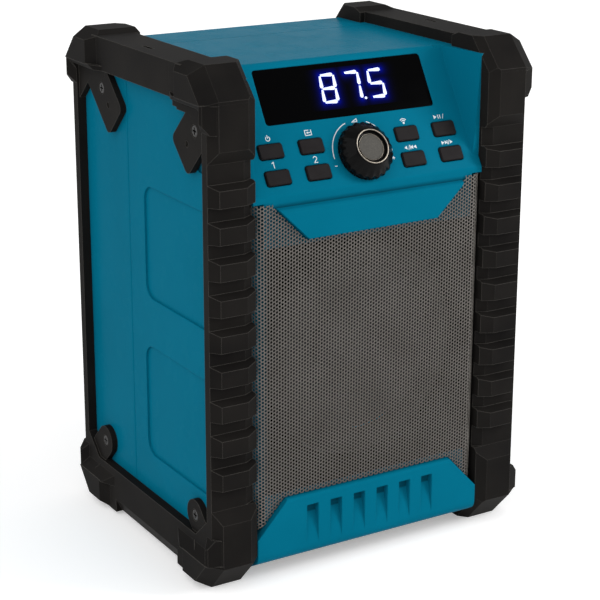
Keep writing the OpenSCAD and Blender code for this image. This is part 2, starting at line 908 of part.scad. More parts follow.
// Pocket under the panel, and the openings for the window, the buttons and the knob
module panel_openings() {
    pocket_half = panel_half - wall_t;
    on_panel() {
        difference() {
            box(-pocket_half, pocket_half, board_low_s - 1.2, panel_l - 2, -pocket_depth, -wall_t);
            board_posts_all();
        }
        translate([0, window_s, -window_t])
            linear_extrude(window_t + 1)
                rounded_rect(window_w, window_h, window_r);
        translate([0, window_s, -wall_t - 1])
            linear_extrude(wall_t + 1)
                rounded_rect(window_w - 2 * window_ledge, window_h - 2 * window_ledge, 1);
        for (b = button_places)
            translate([b[0], b[1], -wall_t - 1])
                linear_extrude(wall_t + 2)
                    rounded_rect(button_w + 2 * button_gap, button_h + 2 * button_gap, 1.2 + button_gap);
        translate([0, knob_s, -wall_t - 1])
            cylinder(h = wall_t + 2, r = shaft_r + 1);
    }
}

// Places of the guard screws on the right side, as [y, z]
function from_corner(place, back, top) =
    [(back ? -1 : 1) * (front_y + place[0]), top ? overall_h - place[1] : place[1]];
guard_screw_places = [
    from_corner(back_from(strap_front, strap_screw_back), false, true),
    from_corner(back_from(strap_back, strap_screw_back), true, true),
    from_corner(lobe_front, false, false),
    from_corner(lobe_back, true, false)];

// Bosses inside the side walls for the guard screws; side is -1 in front of the parting line
module guard_bosses(side) {
    both_sides()
        for (p = guard_screw_places)
            if ((p[0] - parting_y) * side > 0)
                translate([body_x - guard_screw_l - 2, p[0], p[1]])
                    rotate([0, 90, 0])
                        cylinder(h = guard_screw_l + 1, r = 4.2);
}

module guard_screw_bores() {
    both_sides()
        for (p = guard_screw_places)
            translate([body_x - guard_screw_l, p[0], p[1]])
                rotate([0, 90, 0])
                    cylinder(h = guard_screw_l + 1, r = guard_screw_r);
}

// Broken edges along the parting line, which draw a fine groove
module edge_breaks() {
    both_sides()
        translate([body_x, parting_y, 0])
            rotate([0, 0, 45])
                box(-edge_break / 2, edge_break / 2, -edge_break / 2, edge_break / 2, 0, overall_h);
}

module rear_shell_outline(inset) {
    r = back_round_r - inset / 2;
    polygon(concat([[parting_y - (inset > 0 ? 1 : 0), body_bottom + inset], [body_back_y - inset, body_bottom + inset]],
        arc(body_back_y - inset - r, body_top - inset - r, r, 0, 90, 6),
        [[parting_y - (inset > 0 ? 1 : 0), body_top - inset]]));
}

module rear_cover() {
    color("#00708f")
    difference() {
        union() {
            difference() {
                prism_x(-body_x, body_x)
                    rear_shell_outline(0);
                prism_x(-body_x + wall_t, body_x - wall_t)
                    rear_shell_outline(wall_t);
                // step for the front shell's tongue
                box(-tongue_x - 0.2, tongue_x + 0.2, parting_y - 1, parting_y + tongue_l + 0.3,
                    body_top - wall_t / 2, body_top + 1);
            }
            // rim behind the door
            box(-door_w / 2 - 2, door_w / 2 + 2, tray_rim_y, body_back_y - 0.5,
                bay_bottom - door_lap - 2, bay_top + door_lap + 2);
            both_sides()
                for (z = cover_screw_z)
                    rod_y(cover_screw_x, z, parting_y, body_back_y - 1, cover_boss_r);
            guard_bosses(1);
            hinge_knuckles();
            board_standoffs();
            socket_block();
            antenna_shelf();
        }
        // mouth of the battery compartment and the recess for its door
        box(-bay_w / 2, bay_w / 2, tray_rim_y - 1, body_back_y + 1, bay_bottom, bay_top);
        box(-door_w / 2 - door_gap, door_w / 2 + door_gap, body_back_y - door_t, body_back_y + 1,
            bay_bottom - door_lap - door_gap, bay_top + door_lap + door_gap);
        // notch for the latch's tongue
        box(door_w / 2 - 1, door_w / 2 + latch_travel + 1.2, body_back_y - door_t - 0.2,
            body_back_y - door_t + latch_tongue_t + 0.6, bay_mid_z - latch_stem_w, bay_mid_z + latch_stem_w);
        both_sides()
            for (z = cover_screw_z) {
                rod_y(cover_screw_x, z, parting_y - 1, body_back_y, cover_screw_r + 0.2);
                rod_y(cover_screw_x, z, parting_y + 8, body_back_y + 1, cover_head_r + 0.4);
            }
        guard_screw_bores();
        edge_breaks();
        // cooling slots above the battery door
        for (i = [0 : 6])
            box(-34, 34, body_back_y - wall_t - 1, body_back_y + 1, main_z + i * 6, main_z + i * 6 + 2.4);
        socket_openings();
        rod_y(antenna_x, antenna_z, body_back_y - 6, body_back_y + 1, antenna_pin_r);
    }
}

// Knuckles of the rear cover round the door's hinge pin
module hinge_knuckles() {
    for (k = [0, 1]) {
        z = knuckle_z[k] + k * (knuckle_l + knuckle_gap);
        difference() {
            union() {
                translate([hinge_x, hinge_y, z])
                    cylinder(h = knuckle_l, r = knuckle_r);
                box(hinge_x - knuckle_r, hinge_x + 0.6, body_back_y - 1, hinge_y, z, z + knuckle_l);
            }
            translate([hinge_x, hinge_y, z - 1])
                cylinder(h = knuckle_l + 2, r = hinge_pin_r);
        }
    }
}

module board_standoffs() {
    for (x = [-1, 1], z = [main_z + 5, main_z + main_h - 5])
        union() {
            rod_y(x * (main_w / 2 - 5), z, main_y + board_t, body_back_y - 1, main_standoff_r);
            rod_y(x * (main_w / 2 - 5), z, main_y - 1, body_back_y - 1, 1.6);
        }
}

// Block behind the two sockets
module socket_block() {
    box(flap_x - flap_w / 2 - 1.2, flap_x + flap_w / 2 + 1.2, body_back_y - wall_t - flap_recess,
        body_back_y - 1, flap_bottom - 1, flap_bottom + flap_l + 1);
}

module socket_openings() {
    // recess for the rubber cover
    box(flap_x - flap_w / 2 - 0.4, flap_x + flap_w / 2 + 0.4, body_back_y - flap_recess, body_back_y + 1,
        flap_bottom - 0.4, flap_bottom + flap_l + 0.4);
    rod_y(flap_x, dc_z, body_back_y - 12, body_back_y, dc_hole_r);
    rod_y(flap_x, aux_z, body_back_y - 12, body_back_y, aux_hole_r);
    // sockets for the rubber cover's two pins
    translate([flap_x - flap_w / 2 - 1.2, body_back_y - flap_t / 2, flap_pin_z])
        rotate([0, 90, 0])
            cylinder(h = flap_w + 2.4, r = flap_pin_r + running_gap);
}

// Shelf that the folded antenna lies on
module antenna_shelf() {
    box(antenna_x - antenna_l + 4, antenna_x - antenna_l + 14, body_back_y - 0.5, antenna_mid_y + 2,
        antenna_z - antenna_r - 3, antenna_z - antenna_r - 0.4);
}

// Moulded box for the battery pack, welded to the rim inside the rear cover
module battery_tray() {
    color("#2a2a2c")
    difference() {
        box(-bay_w / 2 - bay_wall, bay_w / 2 + bay_wall, bay_front_y - bay_wall, tray_rim_y,
            bay_bottom - bay_wall, bay_top + bay_wall);
        box(-bay_w / 2, bay_w / 2, bay_front_y, tray_rim_y + 1, bay_bottom, bay_top);
        // opening for the terminal
        box(-terminal_w / 2 - 0.3, terminal_w / 2 + 0.3, bay_front_y - bay_wall - 1, bay_front_y + 1,
            bay_mid_z - terminal_h / 2 - 0.3, bay_mid_z + terminal_h / 2 + 0.3);
    }
}

module cover_screws() {
    color("#77736f")
    both_sides()
        for (z = cover_screw_z) {
            rod_y(cover_screw_x, z, parting_y - cover_boss_front + 5, parting_y + 8, cover_screw_r);
            difference() {
                rod_y(cover_screw_x, z, parting_y + 8, parting_y + 8 + cover_head_h, cover_head_r);
                translate([cover_screw_x, parting_y + 8 + cover_head_h - recess_depth, z])
                    rotate([-90, 0, 0])
                        cross_recess(cover_head_r);
            }
        }
}

// ---------- grille and loudspeaker ----------

module speaker_grille() {
    half_low = chin_half_low + grille_gap;
    half_top = chin_half_top + grille_gap;
    bez_half = bezel_half + grille_gap;
    foot = bezel_side_z + grille_gap + 0.5;
    r = grille_bend_r;
    t = grille_t;
    color("#4b4846")
    intersection() {
        // sheet with its long edges rolled back
        prism_z(0, grille_top)
            polygon(concat(
                arc(grille_bend_x, grille_y + r, r, -90, 0, 6),
                arc(grille_bend_x, grille_y + r, r - t, 0, -90, 6),
                arc(-grille_bend_x, grille_y + r, r - t, -90, -180, 6),
                arc(-grille_bend_x, grille_y + r, r, -180, -90, 6)));
        // outline that clears the chin and the lower bezel
        prism_y(front_y, body_front_y + 2)
            polygon([[-grille_half, foot], [-bez_half, bezel_top + grille_gap], [bez_half, bezel_top + grille_gap],
                [grille_half, foot], [grille_half, grille_top], [half_top, grille_top],
                [half_top, chin_top + 1.5], [half_low, chin_bottom - grille_gap],
                [-half_low, chin_bottom - grille_gap], [-half_top, chin_top + 1.5],
                [-half_top, grille_top], [-grille_half, grille_top]]);
    }
}

module speaker_gasket() {
    color("#1b1b1b")
    difference() {
        round_speaker()
            translate([speaker_hole_r + 0.5, baffle_back_y])
                square([flange_r - speaker_hole_r - 0.5, gasket_t]);
        speaker_screw_cuts(1.8);
    }
}

module speaker_screw_cuts(r) {
    for (a = [45 : 90 : 315])
        rod_y(speaker_screw_r * cos(a), speaker_z + speaker_screw_r * sin(a), baffle_back_y - 1,
            flange_y + flange_t + 1, r);
}

module speaker_basket() {
    rim_in = cone_r + surround_w;
    arm_t = 1.5;
    color("#3c3f42")
    difference() {
        round_speaker()
            polygon([[rim_in, flange_y], [flange_r, flange_y], [flange_r, flange_y + flange_t],
                [rim_in + 1, flange_y + flange_t], [basket_floor_r + 6, basket_back_y - 12],
                [basket_floor_r + arm_t, basket_back_y - 8], [basket_floor_r + arm_t, basket_back_y],
                [gap_r + 4, basket_back_y], [gap_r + 4, basket_back_y - arm_t],
                [basket_floor_r, basket_back_y - arm_t], [basket_floor_r, basket_back_y - 8],
                [basket_floor_r + 4, basket_back_y - 12 - arm_t], [rim_in - 1, flange_y + flange_t]]);
        speaker_screw_cuts(1.8);
        // windows between the four arms
        for (a = [0 : 90 : 270])
            translate([0, 0, speaker_z])
                rotate([0, a, 0])
                    box(-basket_floor_r * 0.75, basket_floor_r * 0.75, flange_y + flange_t + 1,
                        basket_back_y - 13, basket_floor_r, flange_r);
    }
}

module speaker_surround() {
    r = surround_w / 2 - 1.5;
    mid = cone_r + 0.4 + 1.5 + r;
    t = 0.8;
    color("#161616")
    round_speaker()
        polygon(concat([[cone_r + 0.4, cone_front_y - 1], [mid - r, cone_front_y - 1]],
            arc(mid, cone_front_y - 1, r, 180, 360, 8),
            [[cone_r + surround_w + 2, cone_front_y - 1], [cone_r + surround_w + 2, cone_front_y - 1 - t],
                [mid + r + t, cone_front_y - 1 - t]],
            arc(mid, cone_front_y - 1, r + t, 350, 190, 8),
            [[mid - r - t, cone_front_y - 1 - t], [cone_r + 0.4, cone_front_y - 1 - t]]));
}

module speaker_cone() {
    neck = coil_r + coil_t;
    // the profile's two bends, as depths in front of the neck and behind the rim
    low = cone_deep * 0.19;
    high = cone_deep * 0.285;
    color("#232323")
    round_speaker()
        polygon([[neck, cone_back_y], [neck + 4, cone_back_y - low], [cone_r - 12, cone_front_y + high],
            [cone_r, cone_front_y - 0.8], [cone_r, cone_front_y + 0.4],
            [cone_r - 11.4, cone_front_y + high + 1.2], [neck + 4.6, cone_back_y - low + 1.2],
            [neck, cone_back_y + cone_t]]);
}

module speaker_dust_cap() {
    cap_r = coil_r + coil_t + 4;
    cap_y = cone_back_y - cone_deep * 0.19;
    color("#1a1a1a")
    round_speaker()
        polygon(concat(
            [for (k = [0 : 6]) [cap_r * sin(15 * k), cap_y - 5 * cos(15 * k)]],
            [for (k = [6 : -1 : 0]) [(cap_r - 0.8) * sin(15 * k), cap_y + 0.01 - 4.2 * cos(15 * k)]]));
}

module voice_coil() {
    color("#b8733a")
    round_speaker()
        translate([coil_r, cone_back_y - 2])
            square([coil_t, coil_end_y - cone_back_y + 2]);
}

module speaker_spider() {
    waves = 4;
    inner = coil_r + coil_t + 0.5;
    step = (spider_r - inner) / (2 * waves);
    color("#a9803a")
    round_speaker()
        polygon(concat(
            [for (k = [0 : 2 * waves]) [inner + k * step, spider_y + (k % 2) * 1.6]],
            [[basket_floor_r, spider_y], [basket_floor_r, spider_y + 0.7]],
            [for (k = [2 * waves : -1 : 0]) [inner + k * step, spider_y + 0.7 + (k % 2) * 1.6]]));
}

module speaker_top_plate() {
    color("#9a9da0")
    round_speaker()
        translate([gap_r, basket_back_y])
            square([magnet_r - 4 - gap_r, plate_t]);
}

module speaker_magnet() {
    color("#2f2f31")
    round_speaker()
        translate([gap_r + 6, magnet_y])
            square([magnet_r - gap_r - 6, magnet_t]);
}

module speaker_yoke() {
    color("#9a9da0")
    round_speaker()
        polygon([[0, basket_back_y], [pole_r, basket_back_y], [pole_r, yoke_y], [magnet_r - 4, yoke_y],
            [magnet_r - 4, yoke_y + plate_t - 1], [magnet_r - 5, yoke_y + plate_t], [0, yoke_y + plate_t]]);
}

module speaker_screws() {
    color("#b9b7b2")
    for (a = [45 : 90 : 315]) {
        x = speaker_screw_r * cos(a);
        z = speaker_z + speaker_screw_r * sin(a);
        rod_y(x, z, baffle_y + 1.2, flange_y + flange_t, 1.3);
        difference() {
            rod_y(x, z, flange_y + flange_t, flange_y + flange_t + 1.8, 2.6);
            rod_y(x, z, flange_y + flange_t + 1, flange_y + flange_t + 2, 1);
        }
    }
}

// ---------- control panel ----------

button_places = [[-button_outer_x, button_upper_s], [-button_inner_x, button_upper_s],
    [-button_outer_x, button_lower_s], [-button_inner_x, button_lower_s],
    [button_inner_x, button_upper_s], [button_outer_x, button_upper_s],
    [button_inner_x, button_lower_s], [button_outer_x, button_lower_s]];

module display_window() {
    color("#08080c")
    on_panel()
        translate([0, window_s, -window_t])
            linear_extrude(window_t - 0.15)
                rounded_rect(window_w - 0.2, window_h - 0.2, window_r - 0.1);
}

module led_display() {
    module_w = 66;
    module_h = 22;
    color("#101014")
    on_panel() {
        box(-module_w / 2 - 2, module_w / 2 - 2, window_s - module_h / 2, window_s + module_h / 2,
            -board_depth, -wall_t - 0.5);
        for (x = [-4 : 4], s = [-1, 1])
            translate([x * 6 - 2, window_s + s * 7.6, -board_depth - board_t - 1])
                cylinder(h = board_t + 2, r = 0.4, $fn = 16);
    }
}

module control_board() {
    color("#1d5c34")
    on_panel()
        difference() {
            box(-board_w / 2, board_w / 2, board_low_s, board_top_s, -board_depth - board_t, -board_depth);
            both_sides()
                for (b = board_posts)
                    translate([b[0], b[1], -board_depth - board_t - 1])
                        cylinder(h = board_t + 2, r = 1.2);
            for (x = [-4 : 4], s = [-1, 1])
                translate([x * 6 - 2, window_s + s * 7.6, -board_depth - board_t - 1])
                    cylinder(h = board_t + 2, r = 0.4, $fn = 16);
        }
}

module tact_switches() {
    color("#303030")
    on_panel()
        for (b = button_places)
            translate([b[0], b[1], 0]) {
                box(-3, 3, -3, 3, -board_depth, plunger_top - 0.7);
                translate([0, 0, plunger_top - 1])
                    cylinder(h = 1, r = 1.7);
            }
}

// A moulded cap with a lip under the panel, which bears on the plunger of its switch
module button(i) {
    b = button_places[i];
    edge = 0.3;
    foot = -wall_t - button_rest;
    color("#2f2728")
    on_panel()
        translate([b[0], b[1], 0]) {
            translate([0, 0, foot])
                linear_extrude(button_proud - edge - foot)
                    rounded_rect(button_w, button_h, 1.2);
            translate([0, 0, button_proud - edge - eps])
                linear_extrude(edge + eps)
                    rounded_rect(button_w - 2 * edge, button_h - 2 * edge, 1.1);
            translate([0, 0, foot - button_lip])
                linear_extrude(button_lip)
                    rounded_rect(button_w + 2.4, button_h + 2.4, 1.5);
        }
}

module button_power() { button(0); }
module button_source() { button(1); }
module button_preset() { button(2); }
module button_scan() { button(3); }
module button_pair() { button(4); }
module button_play() { button(5); }
module button_previous() { button(6); }
module button_next() { button(7); }

// Volume knob, drawn round the encoder's axis
module at_knob() {
    on_panel()
        translate([0, knob_s, 0])
            children();
}
skirt_base = 0.8;
skirt_top = 5.6;
knob_groove = 2.2;
nut_room_r = 7.5;
nut_h = 2;

module volume_knob() {
    color("#141414")
    at_knob()
        difference() {
            rotate_extrude($fn = 96)
                polygon(concat([[shaft_r, skirt_base + nut_h + 2], [nut_room_r, skirt_base + nut_h + 2],
                    [nut_room_r, skirt_base], [knob_r - 0.6, skirt_base], [knob_r, skirt_base + 0.6],
                    [knob_r, skirt_top - 1], [knob_r - 1, skirt_top], [knob_r - 2.2, skirt_top + 0.5],
                    [rim_r + 0.6, knob_h - 1.6], [rim_r, knob_h - 1], [rim_r - 1.6, knob_h - 1],
                    [rim_r - 1.6, knob_h - knob_groove - 1], [disc_r - 0.8, knob_h - knob_groove - 1],
                    [disc_r - 0.8, knob_h - knob_groove - 2], [shaft_r, knob_h - knob_groove - 2]]));
            for (i = [0 : flute_count - 1])
                rotate([0, 0, i * 360 / flute_count])
                    translate([knob_r + 0.7, 0, skirt_base + 0.6])
                        cylinder(h = skirt_top, r = 1.5, $fn = 24);
        }
}

module knob_rim() {
    color("#b5afa5")
    at_knob()
        rotate_extrude($fn = 96)
            polygon(concat([[rim_r - 1.4, knob_h - 1], [rim_r, knob_h - 1]],
                arc(rim_r - 0.7, knob_h - 0.7, 0.7, 0, 180, 6)));
}

module knob_cap() {
    color("#5d564e")
    at_knob()
        rotate_extrude($fn = 96)
            polygon([[0, knob_h - knob_groove - 2 + 0.01], [disc_r - 0.8, knob_h - knob_groove - 2 + 0.01],
                [disc_r - 0.8, knob_h - knob_groove - 1], [disc_r, knob_h - knob_groove - 1],
                [disc_r, knob_h - 0.9], [disc_r - 0.5, knob_h - 0.5], [0, knob_h - 0.3]]);
}

module encoder_body() {
    color("#8a8c8e")
    at_knob()
        difference() {
            union() {
                box(-6.2, 6.2, -6.6, 6.6, -board_depth, -wall_t);
                translate([0, 0, -wall_t - eps])
                    cylinder(h = wall_t + nut_h + 0.3, r = shaft_r + 0.9);
            }
            translate([0, 0, -wall_t - 2])
                cylinder(h = wall_t + nut_h + 5, r = shaft_r + running_gap);
        }
}

module encoder_shaft() {
    color("#c9cbcd")
    at_knob()
        translate([0, 0, -wall_t - 1.9])
            cylinder(h = knob_h - knob_groove + wall_t - 0.1, r = shaft_r);
}

module encoder_nut() {
    color("#b0a890")
    at_knob()
        difference() {
            cylinder(h = nut_h, r = shaft_r + 3, $fn = 6);
            translate([0, 0, -1])
                cylinder(h = nut_h + 2, r = shaft_r + 0.9);
        }
}

// ---------- electronics ----------

module main_board() {
    color("#1d5c34")
    difference() {
        box(-main_w / 2, main_w / 2, main_y, main_y + board_t, main_z, main_z + main_h);
        for (x = [-1, 1], z = [main_z + 5, main_z + main_h - 5])
            rod_y(x * (main_w / 2 - 5), z, main_y - 1, main_y + board_t + 1, 1.6);
    }
}

module board_chips() {
    color("#1a1a1c")
    // each as its place from the middle of the board, and its size
    for (c = [[-30, 7, 14, 14], [4, 13, 10, 10], [30, -13, 18, 12], [-8, -13, 12, 8]])
        box(c[0] - c[2] / 2, c[0] + c[2] / 2, main_y - 2, main_y, main_z + main_h / 2 + c[1] - c[3] / 2,
            main_z + main_h / 2 + c[1] + c[3] / 2);
}

module heat_sink() {
    fins = 7;
    fin_t = 1.4;
    h = main_h - 26;
    color("#a5a8ab")
    translate([-heat_sink_w - 2, main_y + board_t, main_z + 12]) {
        cube([heat_sink_w, heat_sink_t, h]);
        for (i = [0 : fins - 1])
            translate([i * (heat_sink_w - fin_t) / (fins - 1), heat_sink_t - 0.1, 0])
                cube([fin_t, fin_l, h]);
    }
}

module filter_capacitors() {
    color("#26324a")
    for (i = [0 : 2])
        rod_y(10 + i * capacitor_pitch, main_z + main_h - 26, main_y + board_t, main_y + board_t + capacitor_l,
            capacitor_r);
}

// ---------- battery ----------

module battery_terminal() {
    color("#222222") {
        box(-terminal_w / 2, terminal_w / 2, bay_front_y - bay_wall, bay_front_y + 0.5,
            bay_mid_z - terminal_h / 2, bay_mid_z + terminal_h / 2);
        box(-terminal_w / 2 - 3.3, terminal_w / 2 + 3.3, terminal_front_y, bay_front_y - bay_wall,
            bay_mid_z - terminal_h / 2 - 3.3, bay_mid_z + terminal_h / 2 + 3.3);
        for (x = [-10, 0, 10])
            box(x - 0.4, x + 0.4, bay_front_y - bay_wall, bay_front_y + blade_l, bay_mid_z - 9, bay_mid_z + 9);
    }
}

// Plug-in battery pack: a case with a shallow waist and three contact slots
module battery_pack() {
    y1 = bay_front_y + 0.5;
    y2 = y1 + pack_d;
    half = pack_w / 2;
    low = bay_bottom + pack_gap;
    color("#2b2b2d")
    difference() {
        intersection() {
            prism_z(low, low + pack_l)
                polygon([[-half + 3, y1], [half - 3, y1], [half, y1 + 3], [half, y2 - 6], [half - 6, y2],
                    [-half + 6, y2], [-half, y2 - 6], [-half, y1 + 3]]);
            prism_x(-half, half)
                polygon([[y1, low], [y2 - 4, low], [y2, low + 4], [y2, low + pack_l - 4],
                    [y2 - 4, low + pack_l], [y1, low + pack_l]]);
        }
        for (x = [-1, 1])
            box(x * (half - 1) - 2, x * (half - 1) + 2, y1 + 14, y1 + 17, low - 1, low + pack_l + 1);
        for (x = [-10, 0, 10])
            box(x - 1, x + 1, y1 - 1, y1 + blade_l + 2, bay_mid_z - 11, bay_mid_z + 11);
    }
}

module battery_door() {
    y1 = body_back_y - door_t;
    half = door_w / 2;
    low = bay_bottom - door_lap;
    high = bay_top + door_lap;
    grip_half = 9;
    color("#1f1f21")
    difference() {
        union() {
            difference() {
                box(-half, half, y1 + 0.2, body_back_y, low, high);
                // latch pocket, with the stem's slot through the door
                box(latch_x - latch_w / 2 - latch_slot_gap - latch_travel, latch_x + latch_w / 2 + latch_slot_gap,
                    body_back_y - 1, body_back_y + 1, bay_mid_z - latch_h / 2 - latch_slot_gap,
                    bay_mid_z + latch_h / 2 + latch_slot_gap);
                box(latch_x - latch_stem_w / 2 - latch_slot_gap - latch_travel, half + 1, y1, body_back_y - 0.99,
                    bay_mid_z - latch_stem_w / 2 - latch_slot_gap, bay_mid_z + latch_stem_w / 2 + latch_slot_gap);
                // three shallow grip flutes
                for (i = [-1 : 1])
                    box(-28, 6, body_back_y - 0.8, body_back_y + 1, bay_mid_z + i * 14 - 3, bay_mid_z + i * 14 + 3);
            }
            // knuckles and the arms that carry them
            for (k = [0, 1]) {
                z = knuckle_z[k] + (1 - k) * (knuckle_l + knuckle_gap);
                translate([hinge_x, hinge_y, z])
                    cylinder(h = knuckle_l, r = knuckle_r);
                box(hinge_x, -half + 4, body_back_y + 0.3, hinge_y, z, z + knuckle_l);
                box(-half, -half + 4, body_back_y - 1, body_back_y + 1, z, z + knuckle_l);
            }
        }
        for (k = [0, 1]) {
            z = knuckle_z[k] + (1 - k) * (knuckle_l + knuckle_gap);
            translate([hinge_x, hinge_y, z - 1])
                cylinder(h = knuckle_l + 2, r = hinge_pin_r + running_gap);
        }
    }
}

module door_hinge_pin() {
    span = 2 * knuckle_l + knuckle_gap;
    color("#b9bbbd")
    for (k = [0, 1])
        translate([hinge_x, hinge_y, knuckle_z[k]])
            cylinder(h = span, r = hinge_pin_r);
}

// Sliding lock of the door, drawn unlocked: it slides outwards to lock
module door_latch() {
    stem_half = latch_stem_w / 2;
    y1 = body_back_y - door_t + 0.3;
    color("#38383a")
    translate([latch_x - latch_travel, 0, bay_mid_z])
        difference() {
            union() {
                box(-latch_w / 2, latch_w / 2, body_back_y - 0.9, body_back_y + latch_t - 0.9,
                    -latch_h / 2, latch_h / 2);
                // stem and tongue, which goes under the rear cover's edge
                box(-stem_half, door_w / 2 - latch_x + latch_travel - 0.6, y1, y1 + latch_tongue_t,
                    -stem_half, stem_half);
                box(-stem_half, stem_half, y1, body_back_y - 0.5, -stem_half, stem_half);
            }
            for (i = [-2 : 2])
                box(i * 3 - 0.6, i * 3 + 0.6, body_back_y + latch_t - 1.5, body_back_y + latch_t,
                    -latch_h / 2 + 3, latch_h / 2 - 3);
        }
}

// ---------- sockets and antenna ----------

module socket_body(z, hole_r, w, l) {
    y2 = body_back_y - flap_recess - 1.5;
    difference() {
        union() {
            box(flap_x - w / 2, flap_x + w / 2, y2 - l, body_back_y - wall_t - flap_recess, z - w / 2, z + w / 2);
            rod_y(flap_x, z, y2 - l + 2, body_back_y - flap_recess - 0.4, hole_r);
        }
        rod_y(flap_x, z, y2 - l + 3, body_back_y, hole_r - 0.7);
    }
}

module aux_socket() {
    color("#303032")
    socket_body(aux_z, aux_hole_r, 9, 12);
}

module dc_socket() {
    color("#303032") {
        socket_body(dc_z, dc_hole_r, 10, 12);
        rod_y(flap_x, dc_z, body_back_y - 16, body_back_y - flap_recess - 2, 1);
    }
}

module socket_cover() {
    y1 = body_back_y - flap_t;
    half = flap_w / 2;
    color("#242224") {
        box(-half + flap_x, half + flap_x, y1, body_back_y, flap_pin_z, flap_bottom + flap_l);
        translate([flap_x - half, body_back_y - flap_t / 2, flap_pin_z])
            rotate([0, 90, 0])
                cylinder(h = flap_w, r = flap_t / 2);
        translate([flap_x - half - 1, body_back_y - flap_t / 2, flap_pin_z])
            rotate([0, 90, 0])
                cylinder(h = flap_w + 2, r = flap_pin_r);
        // finger lip at the free end
        box(flap_x - 4, flap_x + 4, body_back_y - eps, body_back_y + 1.2, flap_bottom + flap_l - 2.4,
            flap_bottom + flap_l);
    }
}

module antenna_mount() {
    color("#1c1c1e")
    difference() {
        rod_y(antenna_x, antenna_z, body_back_y, body_back_y + antenna_boss_t, antenna_boss_r);
        rod_y(antenna_x, antenna_z, body_back_y - 1, body_back_y + antenna_boss_t + 1, antenna_pin_r);
    }
}

module antenna_pin() {
    head_y = antenna_eye_y + antenna_eye_t + 0.2;
    color("#b9bbbd") {
        rod_y(antenna_x, antenna_z, body_back_y - 5, head_y + 0.5, antenna_pin_r);
        rod_y(antenna_x, antenna_z, head_y, head_y + antenna_head_t, antenna_head_r);
    }
}

module antenna_rod() {
    color("#1c1c1e")
    difference() {
        union() {
            rod_y(antenna_x, antenna_z, antenna_eye_y, antenna_eye_y + antenna_eye_t, antenna_eye_r);
            translate([antenna_x - 3, antenna_mid_y, antenna_z])
                rotate([0, -90, 0]) {
                    cylinder(h = 14, r = antenna_eye_t / 2 - 0.05);
                    translate([0, 0, 6])
                        cylinder(h = antenna_l - 12, r1 = antenna_r, r2 = antenna_r * 0.8);
                    translate([0, 0, antenna_l - 6])
                        sphere(r = antenna_r * 0.8);
                }
        }
        rod_y(antenna_x, antenna_z, antenna_eye_y - 1, antenna_eye_y + antenna_eye_t + 1,
            antenna_pin_r + running_gap);
    }
}

// ---------- output ----------

front_housing();
rear_cover();
battery_tray();
cover_screws();
left_guard();
right_guard();
guard_screws();
speaker_grille();
speaker_gasket();
speaker_basket();
speaker_surround();
speaker_cone();
speaker_dust_cap();
voice_coil();
speaker_spider();
speaker_top_plate();
speaker_magnet();
speaker_yoke();
speaker_screws();
display_window();
led_display();
control_board();
tact_switches();
button_power();
button_source();
button_preset();
button_scan();
button_pair();
button_play();
button_previous();
button_next();
volume_knob();
knob_rim();
knob_cap();
encoder_body();
encoder_shaft();
encoder_nut();
main_board();
board_chips();
heat_sink();
filter_capacitors();
battery_terminal();
battery_pack();
battery_door();
door_hinge_pin();
door_latch();
aux_socket();
dc_socket();
socket_cover();
antenna_mount();
antenna_pin();
antenna_rod();
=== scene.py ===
import json
import math
import bmesh
import bpy
from mathutils import Matrix, Quaternion, Vector


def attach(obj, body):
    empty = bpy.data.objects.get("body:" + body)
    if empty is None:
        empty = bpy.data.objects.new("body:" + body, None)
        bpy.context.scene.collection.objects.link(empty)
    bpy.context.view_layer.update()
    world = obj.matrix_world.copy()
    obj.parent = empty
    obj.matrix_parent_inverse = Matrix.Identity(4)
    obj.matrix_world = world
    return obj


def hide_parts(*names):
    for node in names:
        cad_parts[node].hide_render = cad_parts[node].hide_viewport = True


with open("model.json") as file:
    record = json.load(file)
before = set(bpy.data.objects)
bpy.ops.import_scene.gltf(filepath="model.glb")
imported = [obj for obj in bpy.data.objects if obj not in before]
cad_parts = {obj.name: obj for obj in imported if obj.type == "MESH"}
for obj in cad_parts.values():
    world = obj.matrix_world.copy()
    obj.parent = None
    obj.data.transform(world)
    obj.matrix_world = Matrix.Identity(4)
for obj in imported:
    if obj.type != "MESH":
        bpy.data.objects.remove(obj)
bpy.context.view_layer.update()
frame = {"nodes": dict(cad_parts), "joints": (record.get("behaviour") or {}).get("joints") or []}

# ---------- camera ----------
# A long lens in front of the radio's left corner and a little above it, so that both the front and the left
# side show. The small shift puts the radio where the photograph has it.
azimuth, elevation, roll = math.radians(-31.613), math.radians(17.048), math.radians(0.275)
aimed_at, distance = Vector((0, -0.0175, 0.143)), 0.94235
towards_camera = Vector((math.sin(azimuth) * math.cos(elevation), -math.cos(azimuth) * math.cos(elevation),
                         math.sin(elevation)))
camera = bpy.data.objects.new("camera", bpy.data.cameras.new("camera"))
bpy.context.scene.collection.objects.link(camera)
camera.data.lens = 105.42
camera.data.shift_x, camera.data.shift_y = -0.0202, -0.0503
camera.data.clip_end = 60
camera.rotation_mode = "QUATERNION"
camera.rotation_quaternion = (-towards_camera).to_track_quat("-Z", "Y") @ Quaternion((0, 0, 1), roll)
camera.location = aimed_at + towards_camera * distance
bpy.context.scene.camera = camera
bpy.context.scene.view_settings.view_transform = "Standard"

# ---------- studio ----------
# White paper floor and white surroundings under a dim ceiling, with a soft box close by on the front right, a
# faint wide light above it and a stronger, wider one from the left. The floor keeps the soft shadow.
ceiling_level, diffuse_level, floor_white, floor_glow = 0.4, 0.6, 0.96, 0.34


def wire(tree, kind, inputs=None, **settings):
    """Adds a shader node. An input is a value, or the output of another node."""
    node = tree.nodes.new(kind)
    for name, value in settings.items():
        setattr(node, name, value)
    for name, value in (inputs or {}).items():
        if isinstance(value, bpy.types.NodeSocket):
            tree.links.new(value, node.inputs[name])
        else:
            node.inputs[name].default_value = value
    return node


